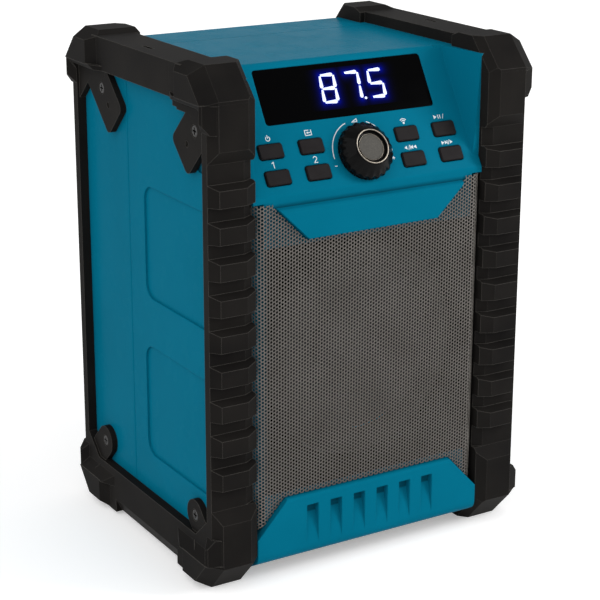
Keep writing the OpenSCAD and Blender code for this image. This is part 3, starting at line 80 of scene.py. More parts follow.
def seen_as_white(tree):
    """1 for rays of the camera, of reflections and through glass, otherwise 0."""
    path = wire(tree, "ShaderNodeLightPath").outputs
    mirrored = wire(tree, "ShaderNodeMath", {0: path["Is Camera Ray"], 1: path["Is Glossy Ray"]},
                    operation="MAXIMUM")
    return wire(tree, "ShaderNodeMath", {0: mirrored.outputs[0], 1: path["Is Transmission Ray"]},
                operation="MAXIMUM").outputs[0]


surroundings = bpy.data.worlds.new("white_surroundings")
surroundings.use_nodes = True
bpy.context.scene.world = surroundings
tree = surroundings.node_tree
direction = wire(tree, "ShaderNodeTexCoord").outputs["Generated"]
height = wire(tree, "ShaderNodeSeparateXYZ", {0: direction}).outputs["Z"]
ceiling = wire(tree, "ShaderNodeMapRange", {"Value": height, "From Min": 0.05, "From Max": 0.35, "To Min": 1.0,
                                            "To Max": ceiling_level}).outputs[0]
path = wire(tree, "ShaderNodeLightPath").outputs
in_gloss = wire(tree, "ShaderNodeMix", {"Factor": path["Is Glossy Ray"], 2: 1.0, 3: ceiling}).outputs[0]
strength = wire(tree, "ShaderNodeMix", {"Factor": seen_as_white(tree), 2: diffuse_level, 3: in_gloss}).outputs[0]
sky = tree.nodes["Background"]
sky.inputs["Color"].default_value = (1, 1, 1, 1)
tree.links.new(strength, sky.inputs["Strength"])

paper = bpy.data.materials.new("paper_floor")
paper.use_nodes = True
paper_shader = paper.node_tree.nodes["Principled BSDF"]
paper_shader.inputs["Base Color"].default_value = (floor_white, floor_white, floor_white, 1)
paper_shader.inputs["Roughness"].default_value = 1.0
paper_shader.inputs["Specular IOR Level"].default_value = 0.0
paper_shader.inputs["Emission Color"].default_value = (1, 1, 1, 1)
glow = wire(paper.node_tree, "ShaderNodeMath", {0: seen_as_white(paper.node_tree), 1: floor_glow},
            operation="MULTIPLY")
paper.node_tree.links.new(glow.outputs[0], paper_shader.inputs["Emission Strength"])
shape = bmesh.new()
bmesh.ops.create_grid(shape, x_segments=1, y_segments=1, size=12)
floor_mesh = bpy.data.meshes.new("floor")
shape.to_mesh(floor_mesh)
shape.free()
floor = bpy.data.objects.new("floor", floor_mesh)
floor_mesh.materials.append(paper)
bpy.context.scene.collection.objects.link(floor)


def aim(lamp, spot, target):
    """Puts a lamp in place and turns it to a target."""
    lamp.rotation_mode = "QUATERNION"
    lamp.rotation_quaternion = (Vector(target) - Vector(spot)).to_track_quat("-Z", "Y")
    lamp.location = spot
    bpy.context.scene.collection.objects.link(lamp)


# name, direction from the radio, level against white, and width in degrees
wide_lights = (("upper_light", (0.5, -0.7, 0.9), 0.06, 34), ("left_fill", (-1.0, -0.3, 0.8), 0.3, 60))
for name, spot, level, width in wide_lights:
    lamp = bpy.data.objects.new(name, bpy.data.lights.new(name, "SUN"))
    lamp.data.energy = level * math.pi
    lamp.data.angle = math.radians(width)
    aim(lamp, spot, (0, 0, 0))
soft_box = bpy.data.objects.new("soft_box", bpy.data.lights.new("soft_box", "AREA"))
soft_box.data.shape = "RECTANGLE"
soft_box.data.size, soft_box.data.size_y = 0.3, 0.5
soft_box.data.energy = 4.6
aim(soft_box, (0.72, -0.62, 0.6), (0, -0.02, 0.14))

# ---------- housing shells ----------
# Two injection-moulded shells in blue-green plastic that meet at a fine groove on the sides. They are
# polished, with a faint waviness from the moulding, and their edges are slightly rounded.


def material_of(name, colour, roughness, **flat):
    """A material whose constant values sit on the shader's own sockets."""
    material = bpy.data.materials.new(name)
    material.use_nodes = True
    shader = material.node_tree.nodes["Principled BSDF"]
    shader.inputs["Base Color"].default_value = (*colour, 1)
    shader.inputs["Roughness"].default_value = roughness
    for socket, value in flat.items():
        shader.inputs[socket.replace("_", " ")].default_value = value
    return material


def cloud(material, size, detail=2.0, stretch=(1, 1, 1)):
    """Soft noise with blotches of that size in metres, in the object's own coordinates."""
    tree = material.node_tree
    where = wire(tree, "ShaderNodeTexCoord").outputs["Object"]
    scaled = wire(tree, "ShaderNodeMapping", {"Vector": where, "Scale": stretch})
    return wire(tree, "ShaderNodeTexNoise", {"Vector": scaled.outputs[0], "Scale": 1 / size,
                                             "Detail": detail}).outputs["Fac"]


def between(material, factor, low, high, start=0.3, stop=0.7):
    """Turns a factor into a value from low to high."""
    return wire(material.node_tree, "ShaderNodeMapRange",
                {"Value": factor, "From Min": start, "From Max": stop, "To Min": low,
                 "To Max": high}).outputs[0]


def tint(material, factor, dark, light):
    """Colours the surface from one tone to the other by a factor."""
    tree = material.node_tree
    mixed = wire(tree, "ShaderNodeMix", {"Factor": factor}, data_type="RGBA")
    mixed.inputs[6].default_value = (*dark, 1)
    mixed.inputs[7].default_value = (*light, 1)
    tree.links.new(mixed.outputs[2], tree.nodes["Principled BSDF"].inputs["Base Color"])


def surface(material, height, depth, edge=0.0):
    """Gives the surface a relief of that depth and softens edges to a radius, both in metres."""
    tree = material.node_tree
    bump = wire(tree, "ShaderNodeBump", {"Height": height, "Strength": 1.0, "Distance": depth})
    if edge:
        soft = wire(tree, "ShaderNodeBevel", {"Radius": edge}, samples=6)
        tree.links.new(soft.outputs[0], bump.inputs["Normal"])
    tree.links.new(bump.outputs[0], tree.nodes["Principled BSDF"].inputs["Normal"])


def roughen(material, value):
    """Lets a node's value set the roughness."""
    tree = material.node_tree
    tree.links.new(value, tree.nodes["Principled BSDF"].inputs["Roughness"])


def mottled(name, colour, roughness, tones, blotch, grain, depth, edge=0.0, **flat):
    """A material in soft blotches of two tones, over a relief of that grain, depth and edge radius.

    Blotch and grain are a noise's size in metres, its detail and, where it runs one way, its stretch.
    """
    material = material_of(name, colour, roughness, **flat)
    tint(material, between(material, cloud(material, *blotch), 0, 1), *tones)
    surface(material, cloud(material, *grain), depth, edge)
    return material


def dress(material, *names):
    """Puts a material on the frame's own pieces."""
    for name in names:
        mesh = frame["nodes"][name].data
        mesh.materials.clear()
        mesh.materials.append(material)


teal = mottled("teal_plastic", (0.0015, 0.138, 0.223), 0.24, IOR=1.035,
               tones=((0.001, 0.139, 0.225), (0.0014, 0.151, 0.244)),
               blotch=(0.05, 3.0), grain=(0.012, 1.0), depth=0.000003, edge=0.0009)
roughen(teal, between(teal, cloud(teal, 0.012), 0.22, 0.3))
dress(teal, "rear_cover")
# painted shade: behind the grille, up to the chin, the front shell's colour is mixed to near black for the shade
# inside the housing, and this painted shade thins out towards the left edge
shade_left, shade_face, shade_top = (-0.07, -0.056), (-0.0742, -0.0738), (0.198, 0.2)
shell = teal.copy()
shell.name = "shaded_shell"
tree = shell.node_tree
place = wire(tree, "ShaderNodeSeparateXYZ", {0: wire(tree, "ShaderNodeTexCoord").outputs["Object"]}).outputs
shade_mask = wire(tree, "ShaderNodeMath", {0: between(shell, place["X"], 0, 1, *shade_left),
                                        1: between(shell, place["Y"], 0, 1, *shade_face)},
               operation="MULTIPLY").outputs[0]
shade_mask = wire(tree, "ShaderNodeMath", {0: shade_mask, 1: between(shell, place["Z"], 1, 0, *shade_top)},
               operation="MULTIPLY").outputs[0]
# the near-black tone here is painted shade, not a coat of paint
painted_shade_mix = wire(tree, "ShaderNodeMix", {"Factor": shade_mask}, data_type="RGBA")
shell_colour = tree.nodes["Principled BSDF"].inputs["Base Color"]
tree.links.new(shell_colour.links[0].from_socket, painted_shade_mix.inputs[6])
painted_shade_mix.inputs[7].default_value = (0.002, 0.002, 0.002, 1)
tree.links.new(painted_shade_mix.outputs[2], shell_colour)
dress(shell, "front_housing")

# ---------- bumper guards ----------
# Two stiff frames in black glass-filled plastic with an eroded mould texture: ribbed posts, rails and faceted
# corner caps in one moulding. Handling has polished the raised edges a little, and a painted highlight lightens
# their colour.


def highlight_and_polish_edges(material, radius):
    """1 along edges and 0 on flat faces, from how far the softened normal turns away."""
    tree = material.node_tree
    soft = wire(tree, "ShaderNodeBevel", {"Radius": radius}, samples=6).outputs[0]
    flat = wire(tree, "ShaderNodeNewGeometry").outputs["Normal"]
    facing = wire(tree, "ShaderNodeVectorMath", {0: soft, 1: flat}, operation="DOT_PRODUCT")
    return between(material, facing.outputs["Value"], 1.0, 0.0, 0.86, 0.99)


def finished(name, shape, material, body, replaced=(), smooth=False):
    """Turns a shape into a piece that rides on a body."""
    mesh = bpy.data.meshes.new(name)
    shape.to_mesh(mesh)
    shape.free()
    mesh.materials.append(material)
    if smooth:
        mesh.shade_smooth()
    piece = bpy.data.objects.new(name, mesh)
    bpy.context.scene.collection.objects.link(piece)
    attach(piece, body)
    if replaced:
        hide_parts(*replaced)
    return piece


guard_black = mottled("guard_plastic", (0.012, 0.0115, 0.011), 0.5, IOR=1.08,
                      tones=((0.0095, 0.0088, 0.0085), (0.0145, 0.0132, 0.012)),
                      blotch=(0.03, 4.0), grain=(0.0006, 3.0), depth=0.00002, edge=0.0005)
tree = guard_black.node_tree
guard_colour = tree.nodes["Principled BSDF"].inputs["Base Color"]
# along the edges the colour is made lighter as a painted highlight, and the lower roughness there is the polish
edge = highlight_and_polish_edges(guard_black, 0.0005)
edge_highlight = wire(tree, "ShaderNodeMix", {"Factor": edge}, data_type="RGBA")
tree.links.new(guard_colour.links[0].from_socket, edge_highlight.inputs[6])
edge_highlight.inputs[7].default_value = (0.085, 0.08, 0.072, 1)
tree.links.new(edge_highlight.outputs[2], guard_colour)
roughen(guard_black, between(guard_black, edge, 0.5, 0.36, 0, 1))
mm = 0.001
mid_z = 135 * mm
# which corners a form is repeated at, as (rear, lower), beside the front upper one
every_corner, upper_corners = ((1, 0), (0, 1), (1, 1)), ((1, 0),)


def box(shape, low, high):
    """A box between two corners, in millimetres, with z from the middle of the guards' height."""
    size = Vector(high) - Vector(low)
    centre = (Vector(high) + Vector(low)) / 2
    made = bmesh.ops.create_cube(shape, size=1)
    bmesh.ops.scale(shape, verts=made["verts"], vec=size * mm)
    bmesh.ops.translate(shape, verts=made["verts"], vec=centre * mm)


def plane_cut(shape, a, b, c):
    """Cuts away what lies beyond the plane through three points, seen from the block's middle."""
    normal = (Vector(b) - Vector(a)).cross(Vector(c) - Vector(a)).normalized()
    middle = sum((v.co for v in shape.verts), Vector()) / len(shape.verts) / mm
    if (middle - Vector(a)).dot(normal) > 0:
        normal.negate()
    bmesh.ops.bisect_plane(shape, geom=shape.verts[:] + shape.edges[:] + shape.faces[:], dist=1e-7,
                           plane_co=Vector(a) * mm, plane_no=normal, clear_outer=True)
    bmesh.ops.holes_fill(shape, edges=[e for e in shape.edges if e.is_boundary])


def to_corners(shape, others):
    """Repeats a form of the right guard's front upper corner at its other corners."""
    first = shape.verts[:] + shape.edges[:] + shape.faces[:]
    for back, low in others:
        made = bmesh.ops.duplicate(shape, geom=first)["geom"]
        verts = [v for v in made if isinstance(v, bmesh.types.BMVert)]
        bmesh.ops.scale(shape, verts=verts, vec=(1, -1 if back else 1, -1 if low else 1))
    bmesh.ops.translate(shape, verts=shape.verts, vec=(0, 0, mid_z))
    bmesh.ops.recalc_face_normals(shape, faces=shape.faces)


def combined(piece, shape, operation):
    """Joins a shape to a piece's mesh or cuts it out, for good."""
    mesh = bpy.data.meshes.new("tool")
    shape.to_mesh(mesh)
    shape.free()
    tool = bpy.data.objects.new("tool", mesh)
    bpy.context.scene.collection.objects.link(tool)
    step = piece.modifiers.new("step", "BOOLEAN")
    step.operation, step.object, step.solver = operation, tool, "EXACT"
    result = bpy.data.meshes.new_from_object(piece.evaluated_get(bpy.context.evaluated_depsgraph_get()))
    piece.modifiers.clear()
    piece.data = result
    bpy.data.objects.remove(tool)


moulding = bmesh.new()
moulding.from_mesh(frame["nodes"]["right_guard"].data)
piece = finished("right_moulding", moulding, guard_black, "radio_body", ("right_guard",))
# clears room for the blocks at the rails' ends and for the flat face of the straight tabs under the upper
# caps, then lets each rail's side and top wall run on into its block
for low, high, corners, operation in (((60, -82, 118), (100, -38, 140), every_corner, "DIFFERENCE"),
                                      ((92.51, -70.5, 88), (100, -30, 115.5), upper_corners, "DIFFERENCE"),
                                      ((89.01, -50, 117.5), (93.99, -37, 132.99), every_corner, "UNION"),
                                      ((72.01, -50, 127.01), (93.99, -37, 132.99), every_corner, "UNION")):
    form = bmesh.new()
    box(form, low, high)
    to_corners(form, corners)
    combined(piece, form, operation)
# the block of each cap is one clean form, and each of its facets is given by three points of its plane
facets = {"sloped_front": ((70, -66.5, 135), (90, -66.5, 135), (80, -80.5, 119.6)),
          "outer_top": ((89.7, -50, 135), (89.7, -70, 135), (98, -60, 130.3)),
          "outer_front": ((89.8, -80.5, 115), (97.35, -76.4, 115), (89.8, -80.5, 125)),
          "outer_slope": ((89.7, -66.5, 135), (89.8, -80.5, 119.6), (97.8, -75.6, 117.9)),
          "inner_front": ((74, -80.5, 115), (68.7, -77.1, 115), (74, -80.5, 125)),
          "inner_slope": ((72.3, -66, 135), (72.5, -80.5, 119.6), (68.7, -64, 132.4)),
          "top_to_rail": ((70, -50, 135), (89, -50, 135), (80, -44.5, 133)),
          "side_to_rail": ((98, -50.5, 120), (98, -50.5, 130), (94, -44.5, 125))}
block = bmesh.new()
box(block, (68.71, -80.49, 117.6), (97.99, -44, 134.99))
for points in facets.values():
    plane_cut(block, *points)
to_corners(block, every_corner)
blocks = bpy.data.objects.new("blocks", bpy.data.meshes.new("blocks"))
block.to_mesh(blocks.data)
bpy.context.scene.collection.objects.link(blocks)
# the housing's corner fits into the block
cavity = bmesh.new()
box(cavity, (60, -70.49, -127.01), (89.01, 70.49, 127.01))
bmesh.ops.translate(cavity, verts=cavity.verts, vec=(0, 0, mid_z))
combined(blocks, cavity, "DIFFERENCE")
block.clear()
block.from_mesh(blocks.data)
bpy.data.objects.remove(blocks)
combined(piece, block, "UNION")
moulding = bmesh.new()
moulding.from_mesh(piece.data)
bmesh.ops.dissolve_limit(moulding, angle_limit=math.radians(0.2), verts=moulding.verts, edges=moulding.edges)
bmesh.ops.recalc_face_normals(moulding, faces=moulding.faces)
moulding.to_mesh(piece.data)
bmesh.ops.scale(moulding, verts=moulding.verts, vec=(-1, 1, 1))
bmesh.ops.reverse_faces(moulding, faces=moulding.faces)
finished("left_moulding", moulding, guard_black, "radio_body", ("left_guard",))

# ---------- fixing screws ----------
# Pan-head steel screws with a cross recess, blackened. They hold the guards to the shells, and the rear
# cover to the front shell.
screw_black = mottled("screw_steel", (0.012, 0.0115, 0.011), 0.35, IOR=1.3,
                      tones=((0.008, 0.0076, 0.0072), (0.018, 0.017, 0.016)),
                      blotch=(0.001, 3.0), grain=(0.0004,), depth=0.00001, edge=0.0002)
dress(screw_black, "guard_screws", "cover_screws")

# ---------- grille ----------
# Sheet steel with staggered holes, powder coated warm dark grey, cut to clear the chin and the lower bezel.
# Its two long edges are rolled back into grooves of the housing.
hole_pitch = 1.887 * mm
bridge = 0.24 * mm
sheet_t = 0.45 * mm
bend_x, bend_r = 62.5 * mm, 5.5 * mm
sheet_front_y = -75 * mm
chin_low, chin_high = Vector((39.1, 180.08)) * mm, Vector((57.6, 198.68)) * mm
bezel_edge = [Vector((51.4, 44.6)) * mm, Vector((62.5, 32.2)) * mm, Vector((71.14, 26.1)) * mm]
sheet_top = 199.98 * mm
first_row, sheet_half, sheet_h = 24 * mm, 72 * mm, 176 * mm
cell_reach = 1.2 * mm


def share(value, start, end):
    """How far a value lies on the way from start to end."""
    return (value - start) / (end - start)


def outside_sheet(u, z):
    """True where the chin, the bezel or nothing at all is in place of the unrolled sheet."""
    if z > sheet_top or z < bezel_edge[2].y or u > bezel_edge[2].x:
        return True
    if z > chin_low.y and u < min(chin_high.x, chin_low.x + (chin_high.x - chin_low.x)
                                  * share(z, chin_low.y, chin_high.y)):
        return True
    a, b = (bezel_edge[0], bezel_edge[1]) if u < bezel_edge[1].x else (bezel_edge[1], bezel_edge[2])
    return z < (a.y if u < a.x else a.y + (b.y - a.y) * share(u, a.x, b.x))


def perforated_sheet():
    """Right half of the grille, laid out flat with its front facing -Y."""
    sheet = bmesh.new()
    column = hole_pitch * math.sqrt(3) / 2
    for i in range(int(sheet_half / column) + 1):
        for k in range(int(sheet_h / hole_pitch) + 2):
            u, z = i * column, first_row + (k + 0.5 * (i % 2)) * hole_pitch
            if all(outside_sheet(*spot) for spot in ((u + cell_reach, z), (max(0, u - cell_reach), z),
                                                     (u, z + cell_reach), (u, z - cell_reach))):
                continue
            bmesh.ops.create_circle(sheet, cap_ends=True, segments=6, radius=hole_pitch / math.sqrt(3),
                                    matrix=Matrix.Translation((u, sheet_front_y, z))
                                    @ Matrix.Rotation(math.pi / 2, 4, "X"))
    bmesh.ops.remove_doubles(sheet, verts=sheet.verts, dist=0.02 * mm)
    cells = sheet.faces[:]
    bmesh.ops.inset_individual(sheet, faces=cells, thickness=bridge, use_even_offset=True)
    bmesh.ops.delete(sheet, geom=cells, context="FACES")
    cuts = [(Vector((0, 0)), Vector((0, 1))), (chin_low, chin_high), (chin_low, chin_low + Vector((1, 0))),
            (chin_high, chin_high + Vector((0, 1))), (bezel_edge[0], bezel_edge[0] + Vector((1, 0))),
            (bezel_edge[0], bezel_edge[1]), (bezel_edge[1], bezel_edge[2]),
            (Vector((0, sheet_top)), Vector((1, sheet_top))), (bezel_edge[2], bezel_edge[2] + Vector((1, 0))),
            (bezel_edge[2], bezel_edge[2] + Vector((0, 1)))]
    for a, b in cuts:
        along = b - a
        bmesh.ops.bisect_plane(sheet, geom=sheet.verts[:] + sheet.edges[:] + sheet.faces[:], dist=1e-6,
                               plane_co=(a.x, 0, a.y), plane_no=(along.y, 0, -along.x))
    gone = [f for f in sheet.faces if f.calc_center_median().x < 0
            or outside_sheet(f.calc_center_median().x, f.calc_center_median().z)]
    bmesh.ops.delete(sheet, geom=gone, context="FACES")
    bmesh.ops.remove_doubles(sheet, verts=sheet.verts, dist=0.01 * mm)
    bmesh.ops.recalc_face_normals(sheet, faces=sheet.faces)
    return sheet


def thicken_and_bend(sheet, side):
    """Gives the sheet its thickness towards the back and rolls its outer edge."""
    front = sheet.faces[:]
    made = bmesh.ops.extrude_face_region(sheet, geom=front, use_keep_orig=True)["geom"]
    back = [v for v in made if isinstance(v, bmesh.types.BMVert)]
    bmesh.ops.translate(sheet, verts=back, vec=(0, sheet_t, 0))
    for v in sheet.verts:
        depth = v.co.y - sheet_front_y
        if v.co.x > bend_x:
            turn = (v.co.x - bend_x) / bend_r
            v.co.x = bend_x + (bend_r - depth) * math.sin(turn)
            v.co.y = sheet_front_y + bend_r - (bend_r - depth) * math.cos(turn)
        v.co.x *= side
    bmesh.ops.recalc_face_normals(sheet, faces=sheet.faces)


coated_steel = mottled("grille_coat", (0.2, 0.183, 0.16), 0.38, Metallic=0.5,
                       tones=((0.175, 0.162, 0.146), (0.21, 0.196, 0.178)),
                       blotch=(0.02, 3.0), grain=(0.0005,), depth=0.000015)
roughen(coated_steel, between(coated_steel, cloud(coated_steel, 0.002), 0.36, 0.5))
for side, name in ((1, "right"), (-1, "left")):
    sheet = perforated_sheet()
    thicken_and_bend(sheet, side)
    finished("grille_" + name, sheet, coated_steel, "radio_body", ("speaker_grille",))

# ---------- loudspeaker ----------
# A round driver behind the baffle: painted steel basket, black pulp cone and dust cap, rubber surround, foam
# gasket, cloth spider, copper coil, and a ferrite magnet between plated steel plates. Four screws hold it.
pulp = mottled("cone_pulp", (0.022, 0.022, 0.023), 0.85, Specular_IOR_Level=0.2,
               tones=((0.014, 0.014, 0.015), (0.034, 0.034, 0.036)),
               blotch=(0.0015, 5.0), grain=(0.0005, 4.0), depth=0.00008)
dress(pulp, "speaker_cone", "speaker_dust_cap")
black_foam = mottled("black_foam", (0.016, 0.016, 0.016), 0.95, Specular_IOR_Level=0.15,
                     tones=((0.008, 0.008, 0.008), (0.028, 0.028, 0.028)),
                     blotch=(0.0006, 2.0), grain=(0.0006, 2.0), depth=0.0002)
dress(black_foam, "speaker_gasket", "speaker_surround")
basket_paint = mottled("basket_paint", (0.03, 0.031, 0.033), 0.45,
                       tones=((0.025, 0.026, 0.028), (0.037, 0.038, 0.04)),
                       blotch=(0.01, 3.0), grain=(0.0009,), depth=0.00003, edge=0.0004)
dress(basket_paint, "speaker_basket")
plated = mottled("plated_steel", (0.55, 0.56, 0.57), 0.3, Metallic=1.0,
                 tones=((0.47, 0.48, 0.48), (0.62, 0.62, 0.6)),
                 blotch=(0.006, 4.0), grain=(0.0004, 2.0, (1, 1, 6)), depth=0.000008, edge=0.0003)
roughen(plated, between(plated, cloud(plated, 0.0015, 3.0), 0.22, 0.42))
dress(plated, "speaker_top_plate", "speaker_yoke", "speaker_screws")
ferrite = mottled("ferrite", (0.03, 0.03, 0.032), 0.6, tones=((0.02, 0.02, 0.022), (0.045, 0.044, 0.046)),
                  blotch=(0.002, 5.0), grain=(0.0007, 4.0), depth=0.00005, edge=0.0005)
dress(ferrite, "speaker_magnet")
# the coil's wire shows as fine bands along the axis, counted from the voice coil's middle
winding = material_of("copper_winding", (0.5, 0.2, 0.07), 0.3, Metallic=1.0)
tree = winding.node_tree
along = wire(tree, "ShaderNodeVectorMath", {0: wire(tree, "ShaderNodeTexCoord").outputs["Object"],
                                            1: (0, -0.03, 0.112)}, operation="SUBTRACT").outputs[0]
turns = wire(tree, "ShaderNodeTexWave", {"Vector": along, "Scale": 700, "Distortion": 0.4, "Detail": 1.0},
             wave_type="BANDS", bands_direction="Y").outputs["Fac"]
tint(winding, turns, (0.3, 0.1, 0.03), (0.68, 0.3, 0.12))
surface(winding, turns, 0.00006)
dress(winding, "voice_coil")
cloth = mottled("spider_cloth", (0.4, 0.25, 0.09), 0.8, Specular_IOR_Level=0.25,
                tones=((0.3, 0.18, 0.06), (0.5, 0.32, 0.13)),
                blotch=(0.0008, 2.0, (1, 1, 4)), grain=(0.0006, 1.0, (4, 1, 1)), depth=0.0001)
dress(cloth, "speaker_spider")

# ---------- control panel's own frame ----------
# The slope is measured across (x), up (s) and out (n) from its lower edge. Its direction comes from the way
# that the power button is pressed.
press = next(j for j in frame["joints"] if j["name"] == "power_press")
panel_out = -Vector(press["axis"]).normalized()
panel_up = Vector((0, panel_out.z, -panel_out.y))
panel_foot = Vector((0, -77.5 * mm, 197.78 * mm))


def on_panel(x, s, n=0.0, turn=0.0):
    """Matrix that puts a shape drawn in x and y onto the slope, all in metres."""
    rows = Matrix((Vector((1, 0, 0)), panel_up, panel_out)).transposed().to_4x4()
    spot = panel_foot + Vector((1, 0, 0)) * x + panel_up * s + panel_out * n
    return Matrix.Translation(spot) @ rows @ Matrix.Rotation(turn, 4, "Z")


# ---------- display ----------
# A smoked acrylic window over a black display module. Its digits are white light bars in six-sided segments,
# and a deep blue glow round them is painted in the window as emission. Both show at the window's face.
smoked = material_of("smoked_acrylic", (0.001, 0.001, 0.0012), 0.08, IOR=1.06)
roughen(smoked, between(smoked, cloud(smoked, 0.02), 0.06, 0.12))
dress(smoked, "display_window")
module_black = mottled("display_module", (0.003, 0.003, 0.004), 0.7, Specular_IOR_Level=0.1,
                       tones=((0.002, 0.002, 0.003), (0.004, 0.004, 0.006)),
                       blotch=(0.002, 2.0), grain=(0.0008,), depth=0.00002)
dress(module_black, "led_display")

stroke = 1.75 * mm
lean = math.tan(math.radians(5))
digit_w, digit_low, digit_high = 7.9 * mm, 51.1 * mm, 65.5 * mm
digit_mid = (digit_low + digit_high) / 2
# where the bars run, as (x, s) from and to, for a digit whose left edge is at 0
bars = {"a": ((0, digit_high), (digit_w, digit_high)), "b": ((digit_w, digit_high), (digit_w, digit_mid)),
        "c": ((digit_w, digit_mid), (digit_w, digit_low)), "d": ((0, digit_low), (digit_w, digit_low)),
        "e": ((0, digit_mid), (0, digit_low)), "f": ((0, digit_high), (0, digit_mid)),
        "g": ((0, digit_mid), (digit_w, digit_mid))}
# the digits' left edges and lit bars, and the light's low and high face measured out from the slope
shown = ((-12.95 * mm, "abcdefg"), (1.5 * mm, "abc"), (15.7 * mm, "acdfg"))
lit_low, lit_high, bar_gap = -0.13 * mm, -0.05 * mm, 0.25 * mm
dot_half, dot_w, dot_left = 0.8 * mm, 1.3 * mm, 11.6 * mm


def leaned(left, point):
    """A point of a digit on the slope, where the digits lean to the right."""
    return Vector((left + point[0] + (point[1] - digit_mid) * lean, point[1]))


def bar(shape, a, b, thick, low, high, gap):
    """A six-sided bar from a to b on the slope, with pointed ends."""
    middle, run = (a + b) / 2, b - a
    matrix = on_panel(middle.x, middle.y, low, math.atan2(run.y, run.x))
    made = bmesh.ops.create_circle(shape, cap_ends=True, segments=6, radius=thick / math.sqrt(3), matrix=Matrix())
    spread = run.length / 2 - gap - thick / math.sqrt(3)
    for v in made["verts"]:
        v.co.x += math.copysign(spread, v.co.x)
    raised(shape, made["verts"], matrix, high - low)


def raised(shape, corners, matrix, thickness):
    """Gives a flat outline its thickness and puts it in place."""
    faces = list({f for v in corners for f in v.link_faces})
    made = bmesh.ops.extrude_face_region(shape, geom=faces, use_keep_orig=True)["geom"]
    top = [v for v in made if isinstance(v, bmesh.types.BMVert)]
    bmesh.ops.translate(shape, verts=top, vec=(0, 0, thickness))
    bmesh.ops.transform(shape, verts=list(corners) + top, matrix=matrix)


light_white = material_of("digit_light", (0.1, 0.1, 0.12), 0.4, Emission_Strength=1.5)
tree = light_white.node_tree
core = between(light_white, cloud(light_white, 0.0012), 0, 1)
lit = wire(tree, "ShaderNodeMix", {"Factor": core}, data_type="RGBA")
lit.inputs[6].default_value, lit.inputs[7].default_value = (0.5, 0.6, 1.0, 1), (0.75, 0.82, 1.0, 1)
tree.links.new(lit.outputs[2], tree.nodes["Principled BSDF"].inputs["Emission Color"])
digits = bmesh.new()
for left, names in shown:
    for letter in names:
        a, b = (leaned(left, p) for p in bars[letter])
        bar(digits, a, b, stroke, lit_low, lit_high, bar_gap)
point, half_dot = leaned(dot_left, (0, digit_low)), Vector((dot_half, 0))
bar(digits, point - half_dot, point + half_dot, dot_w, lit_low, lit_high, 0)
bmesh.ops.recalc_face_normals(digits, faces=digits.faces)
finished("display_digits", digits, light_white, "radio_body")

# a thin filter under the bars carries a painted glow, whose emission fades with the distance to the nearest bar
filter_w, filter_h, filter_x, filter_s = 56 * mm, 22 * mm, 5.8 * mm, 58 * mm
filter_low, filter_t, glow_reach = -0.16 * mm, 0.025 * mm, 1.3 * mm
plate = bmesh.new()
bmesh.ops.create_grid(plate, x_segments=120, y_segments=46, size=0.5)
for v in plate.verts:
    v.co.x, v.co.y = v.co.x * filter_w, v.co.y * filter_h
raised(plate, plate.verts[:], on_panel(filter_x, filter_s, filter_low), filter_t)
bmesh.ops.recalc_face_normals(plate, faces=plate.faces)
lines = [tuple(leaned(left, p) for p in bars[letter]) for left, names in shown for letter in names]


def light_at(spot):
    """How strongly the painted glow lights a point of the filter: it fades with the distance to the nearest bar.
    """
    flat = Vector((spot.x, (spot - panel_foot).dot(panel_up)))
    nearest = 1.0
    for a, b in lines:
        run = b - a
        t = max(0.0, min(1.0, (flat - a).dot(run) / run.length_squared))
        nearest = min(nearest, (flat - a - run * t).length)
    return math.exp(-nearest / glow_reach)


painted_glow = material_of("window_glow", (0.001, 0.001, 0.0012), 0.08, IOR=1.06, Emission_Strength=1.0)
tree = painted_glow.node_tree
spread_light = wire(tree, "ShaderNodeAttribute", attribute_name="glow").outputs["Fac"]
blue = wire(tree, "ShaderNodeMix", {"Factor": spread_light}, data_type="RGBA")
blue.inputs[6].default_value, blue.inputs[7].default_value = (0, 0, 0, 1), (0.0, 0.006, 0.4, 1)
tree.links.new(blue.outputs[2], tree.nodes["Principled BSDF"].inputs["Emission Color"])
roughen(painted_glow, between(painted_glow, cloud(painted_glow, 0.02), 0.06, 0.12))
glow_plate = finished("display_glow", plate, painted_glow, "radio_body")
levels = glow_plate.data.attributes.new("glow", "FLOAT", "POINT")
levels.data.foreach_set("value", [light_at(v.co) for v in glow_plate.data.vertices])

# ---------- boards and switches ----------
# Glass-fibre boards under green solder resist, with their copper tracks showing faintly, and the black
# moulded switches, chips and sockets that are soldered to them.
resist = material_of("green_board", (0.01, 0.1, 0.035), 0.35)
where = wire(resist.node_tree, "ShaderNodeTexCoord").outputs["Object"]
cells = wire(resist.node_tree, "ShaderNodeTexVoronoi", {"Vector": where, "Scale": 260.0},
             distance="MANHATTAN", feature="F1").outputs["Distance"]
tracks = between(resist, cells, 1, 0, 0.25, 0.3)
tint(resist, tracks, (0.008, 0.075, 0.026), (0.02, 0.16, 0.05))
surface(resist, tracks, 0.00003)
dress(resist, "control_board", "main_board")
moulded_black = mottled("component_black", (0.014, 0.014, 0.015), 0.5,
                        tones=((0.01, 0.01, 0.011), (0.02, 0.02, 0.021)),
                        blotch=(0.003, 4.0), grain=(0.0004, 2.0), depth=0.00003, edge=0.0003)
dress(moulded_black, "tact_switches", "board_chips", "battery_terminal", "aux_socket", "dc_socket")
extruded = material_of("extruded_aluminium", (0.6, 0.61, 0.62), 0.35, Metallic=1.0)
drawn = cloud(extruded, 0.0008, 3.0, (1, 1, 0.05))
tint(extruded, between(extruded, drawn, 0, 1), (0.5, 0.51, 0.52), (0.68, 0.69, 0.7))
roughen(extruded, between(extruded, drawn, 0.28, 0.45))
surface(extruded, drawn, 0.00002, 0.0003)
dress(extruded, "heat_sink")
sleeve = mottled("capacitor_sleeve", (0.015, 0.03, 0.09), 0.3, tones=((0.012, 0.024, 0.075), (0.02, 0.038, 0.11)),
                 blotch=(0.004, 3.0), grain=(0.002,), depth=0.00003, edge=0.0006)
dress(sleeve, "filter_capacitors")

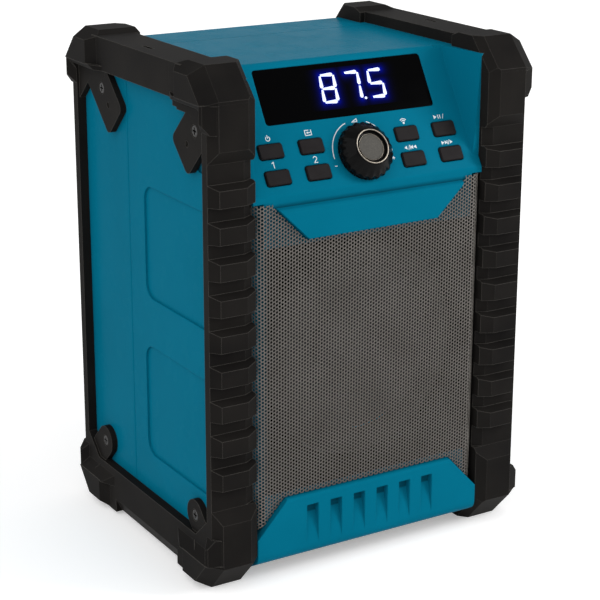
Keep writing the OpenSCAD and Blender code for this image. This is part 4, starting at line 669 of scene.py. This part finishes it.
# ---------- buttons ----------
# Eight moulded push buttons in dark brown-black satin plastic. Each has rounded corners and a narrow bevel
# round its flat top, and stands 1.1 mm out of the slope.
button_plastic = mottled("button_plastic", (0.017, 0.015, 0.0155), 0.4, IOR=1.1,
                         tones=((0.0155, 0.0135, 0.014), (0.0195, 0.0175, 0.018)),
                         blotch=(0.006, 3.0), grain=(0.0004, 2.0), depth=0.000008, edge=0.0003)
dress(button_plastic, *("button_" + name for name in
                        ("power", "source", "preset", "scan", "pair", "play", "previous", "next")))

# ---------- printed marks ----------
# Thin white marks, pad-printed on the slope over the buttons and round the knob: plain control signs, and
# plain numbers where a word would stand.
ink_h = 0.05 * mm
ink = mottled("white_ink", (0.72, 0.76, 0.78), 0.55, tones=((0.62, 0.67, 0.7), (0.8, 0.83, 0.84)),
              blotch=(0.0006, 2.0), grain=(0.0003,), depth=0.00001)
marks = bmesh.new()


def ink_bar(x1, s1, x2, s2, w=0.42):
    """A straight printed stroke between two points, in millimetres."""
    a, b = Vector((x1, s1)) * mm, Vector((x2, s2)) * mm
    run = b - a
    made = bmesh.ops.create_grid(marks, x_segments=1, y_segments=1, size=0.5)
    for v in made["verts"]:
        v.co.x, v.co.y = v.co.x * (run.length + 0.5 * w * mm), v.co.y * w * mm
    middle = (a + b) / 2
    raised(marks, made["verts"], on_panel(middle.x, middle.y, 0, math.atan2(run.y, run.x)), ink_h)


def ink_arc(x, s, r, start, stop, w=0.42, steps=24):
    """A printed arc round a point, in millimetres and degrees."""
    inner = marks.verts.new(((r - w / 2) * mm, 0, 0))
    outer = marks.verts.new(((r + w / 2) * mm, 0, 0))
    rib = marks.edges.new((inner, outer))
    bmesh.ops.rotate(marks, verts=[inner, outer], cent=(0, 0, 0),
                     matrix=Matrix.Rotation(math.radians(start), 3, "Z"))
    before = set(marks.verts) - {inner, outer}
    bmesh.ops.spin(marks, geom=[inner, outer, rib], cent=(0, 0, 0), axis=(0, 0, 1), steps=steps,
                   angle=math.radians(stop - start))
    raised(marks, [v for v in marks.verts if v not in before], on_panel(x * mm, s * mm), ink_h)


def ink_triangle(x, s, r, turn):
    """A printed arrow head that points along turn, in degrees."""
    made = bmesh.ops.create_circle(marks, cap_ends=True, segments=3, radius=r * mm)
    tip = max(made["verts"], key=lambda v: v.co.length * math.cos(math.atan2(v.co.y, v.co.x)))
    first = math.atan2(tip.co.y, tip.co.x)
    raised(marks, made["verts"], on_panel(x * mm, s * mm, 0, math.radians(turn) - first), ink_h)


# standby sign over the first button
ink_arc(-51.3, 36.2, 1.15, 118, 422)
ink_bar(-51.3, 36.3, -51.3, 38.0)
# box with an arrow going in
ink_bar(-29.9, 35.4, -29.9, 38.0)
ink_bar(-29.9, 35.4, -26.3, 35.4)
ink_bar(-26.3, 35.4, -26.3, 38.0)
ink_bar(-29.9, 38.0, -27.7, 38.0)
ink_bar(-28.6, 36.7, -26.9, 36.7)
ink_triangle(-28.5, 36.7, 0.75, 180)
# plain numbers 1 and 2
ink_bar(-51.9, 21.0, -51.9, 24.2)
ink_bar(-51.9, 24.2, -52.8, 23.5)
ink_arc(-28.2, 23.2, 0.95, -30, 170)
ink_bar(-27.45, 22.7, -29.1, 21.0)
ink_bar(-29.1, 21.0, -27.1, 21.0)
# level wedge over the knob, arcs round it, and less and more
ink_bar(-1.6, 39.2, 1.6, 39.2)
ink_bar(1.6, 39.2, 1.6, 40.8)
ink_bar(-1.6, 39.2, 1.6, 40.8)
ink_arc(0, 22.65, 17.3, 109, 184, 0.45, 40)
ink_arc(0, 22.65, 17.3, -3, 67, 0.45, 40)
ink_bar(-18.1, 17.7, -16.9, 17.7)
ink_bar(16.2, 17.8, 17.6, 17.8)
ink_bar(16.9, 17.1, 16.9, 18.5)
# two arcs going out from a dot
ink_arc(28.8, 35.3, 0.35, 0, 360, 0.5, 16)
ink_arc(28.8, 35.3, 1.35, 40, 140)
ink_arc(28.8, 35.3, 2.3, 40, 140)
# play and pause
ink_triangle(48.4, 36.3, 1.25, 0)
ink_bar(50.5, 35.3, 50.5, 37.3)
ink_bar(51.7, 35.3, 51.7, 37.3)
ink_bar(53.0, 35.1, 54.0, 37.5, 0.3)
# back and forward
for x, turn in ((26.0, 180), (29.6, 180), (31.6, 180), (53.8, 0), (48.6, 0), (50.6, 0)):
    ink_triangle(x, 22.1, 1.15, turn)
ink_bar(27.3, 20.9, 28.2, 23.3, 0.3)
ink_bar(28.6, 21.1, 28.6, 23.1, 0.36)
ink_bar(51.7, 21.1, 51.7, 23.1, 0.36)
ink_bar(52.1, 20.9, 53.0, 23.3, 0.3)
bmesh.ops.remove_doubles(marks, verts=marks.verts, dist=0.001 * mm)
bmesh.ops.recalc_face_normals(marks, faces=marks.faces)
finished("panel_marks", marks, ink, "radio_body")

# ---------- volume knob ----------
# A glossy black moulded knob: a fluted skirt that runs into a smooth cone, a thin bright plated ring at its
# front edge, and a matt warm grey disc in a narrow ring of its own, sunk inside. It is pushed onto the shaft.
knob_s = 22.65 * mm
knob_profile = ((7.5, 2.8), (7.5, 0.8), (14.7, 0.8), (15.3, 1.4), (15.25, 3.6), (14.7, 4.9), (13.5, 6.2),
                (12.0, 7.6), (10.6, 8.8), (9.7, 9.6), (9.2, 9.8), (8.5, 9.8), (8.1, 8.0), (6.4, 7.8))
# the flutes reach in from the skirt's foot, get shallower up the cone, and end where it gets narrow
flutes, flute_depth, flute_top, flute_run = 22, 1.0 * mm, 8.4 * mm, 6.5 * mm
cone_r, skirt_foot = 9.9 * mm, 0.9 * mm
knob = bmesh.new()
ends = [knob.verts.new((r * mm, 0, h * mm)) for r, h in knob_profile]
for pair in zip(ends, ends[1:] + ends[:1]):
    knob.edges.new(pair)
bmesh.ops.bevel(knob, geom=ends[3:10], offset=0.35 * mm, affect="VERTICES", segments=3, profile=0.5, material=-1)
bmesh.ops.subdivide_edges(knob, edges=[e for e in knob.edges if e.calc_length() > 1.2 * mm], cuts=3)
bmesh.ops.spin(knob, geom=knob.verts[:] + knob.edges[:], cent=(0, 0, 0), axis=(0, 0, 1), steps=flutes * 8,
               angle=2 * math.pi, use_merge=True)
bmesh.ops.remove_doubles(knob, verts=knob.verts, dist=0.002 * mm)
for v in knob.verts:
    radius = math.hypot(v.co.x, v.co.y)
    if radius > cone_r and v.co.z > skirt_foot:
        around = math.atan2(v.co.y, v.co.x) * flutes
        fade = max(0.0, min(1.0, (flute_top - v.co.z) / flute_run))
        dip = flute_depth * fade * max(0.0, 0.5 - 0.5 * math.cos(around)) ** 0.6
        v.co.x *= 1 - dip / radius
        v.co.y *= 1 - dip / radius
bmesh.ops.transform(knob, verts=knob.verts, matrix=on_panel(0, knob_s))
bmesh.ops.recalc_face_normals(knob, faces=knob.faces)
gloss_black = material_of("knob_black", (0.004, 0.004, 0.004), 0.14, IOR=1.15)
roughen(gloss_black, between(gloss_black, cloud(gloss_black, 0.004, 3.0), 0.13, 0.22))
surface(gloss_black, cloud(gloss_black, 0.002), 0.000006)
finished("knob_shell", knob, gloss_black, "volume_control", ("volume_knob",), smooth=True)
bright = mottled("knob_ring", (0.2, 0.18, 0.15), 0.3, Metallic=1.0,
                 tones=((0.15, 0.135, 0.115), (0.26, 0.23, 0.19)),
                 blotch=(0.002, 3.0), grain=(0.0006,), depth=0.000008)
# the outer ring and the disc's own one: radii, foot and top, in millimetres
knob_rings = ((8.5, 9.15, 9.2, 10.15), (6.72, 7.0, 7.6, 8.75))
ring = bmesh.new()
for inner, outer, low, high in knob_rings:
    corners = [ring.verts.new((x * mm, 0, h * mm)) for x, h in ((inner, low), (outer, low), (outer, high),
                                                               (inner, high))]
    sides = [ring.edges.new((corners[i - 1], corners[i])) for i in range(4)]
    bmesh.ops.spin(ring, geom=corners + sides, cent=(0, 0, 0), axis=(0, 0, 1), steps=96, angle=2 * math.pi,
                   use_merge=True)
sharp = [e for e in ring.edges if len(e.link_faces) == 2 and e.calc_face_angle(0) > 1]
bmesh.ops.bevel(ring, geom=sharp, offset=0.1 * mm, affect="EDGES", segments=2, profile=0.5, material=-1)
bmesh.ops.transform(ring, verts=ring.verts, matrix=on_panel(0, knob_s))
bmesh.ops.recalc_face_normals(ring, faces=ring.faces)
finished("knob_ring", ring, bright, "volume_control", ("knob_rim",), smooth=True)
warm_grey = mottled("knob_disc", (0.085, 0.077, 0.064), 0.6, Specular_IOR_Level=0.35,
                    tones=((0.05, 0.047, 0.04), (0.08, 0.074, 0.063)),
                    blotch=(0.0007, 3.0), grain=(0.0005, 3.0), depth=0.00006, edge=0.0003)
disc_r, disc_t, disc_mid = 6.7 * mm, 1.4 * mm, 7.95 * mm
disc = bmesh.new()
bmesh.ops.create_cone(disc, cap_ends=True, segments=96, radius1=disc_r, radius2=disc_r, depth=disc_t)
top_rim = [e for e in disc.edges if all(v.co.z > 0 for v in e.verts)]
bmesh.ops.bevel(disc, geom=top_rim, offset=0.2 * mm, affect="EDGES", segments=3, profile=0.5, material=-1)
bmesh.ops.transform(disc, verts=disc.verts, matrix=on_panel(0, knob_s, disc_mid))
bmesh.ops.recalc_face_normals(disc, faces=disc.faces)
finished("knob_disc", disc, warm_grey, "volume_control", ("knob_cap",))
dress(plated, "encoder_body", "encoder_shaft", "encoder_nut")

# ---------- battery compartment ----------
# A black moulded tray and hinged door with a sliding lock, a plug-in tool battery in charcoal plastic, and
# plated steel pins in the door's hinges.
door_black = mottled("door_plastic", (0.02, 0.02, 0.021), 0.5, IOR=1.25,
                     tones=((0.017, 0.017, 0.018), (0.026, 0.025, 0.026)),
                     blotch=(0.02, 4.0), grain=(0.0006, 3.0), depth=0.00006, edge=0.0006)
dress(door_black, "battery_door", "door_latch", "battery_tray")
charcoal = mottled("battery_plastic", (0.03, 0.03, 0.032), 0.5, IOR=1.25,
                   tones=((0.025, 0.025, 0.027), (0.037, 0.037, 0.039)),
                   blotch=(0.015, 4.0), grain=(0.0007, 3.0), depth=0.00007, edge=0.0008)
dress(charcoal, "battery_pack")
dress(plated, "door_hinge_pin", "antenna_pin")

# ---------- rubber cover and antenna ----------
# A soft rubber flap closes the two sockets. The antenna is a sheathed flexible whip that turns on a steel
# pin in a rubber washer and lies on its shelf.
soft_rubber = mottled("soft_rubber", (0.018, 0.017, 0.018), 0.75, IOR=1.2,
                      tones=((0.014, 0.013, 0.014), (0.024, 0.023, 0.024)),
                      blotch=(0.008, 4.0), grain=(0.0008, 2.0), depth=0.00004, edge=0.0004)
dress(soft_rubber, "socket_cover", "antenna_mount")
sheath = mottled("antenna_sheath", (0.014, 0.014, 0.015), 0.6, IOR=1.25,
                 tones=((0.011, 0.011, 0.012), (0.019, 0.019, 0.02)),
                 blotch=(0.01, 3.0, (0.2, 1, 1)), grain=(0.001, 2.0, (0.3, 1, 1)), depth=0.00003)
dress(sheath, "antenna_rod")
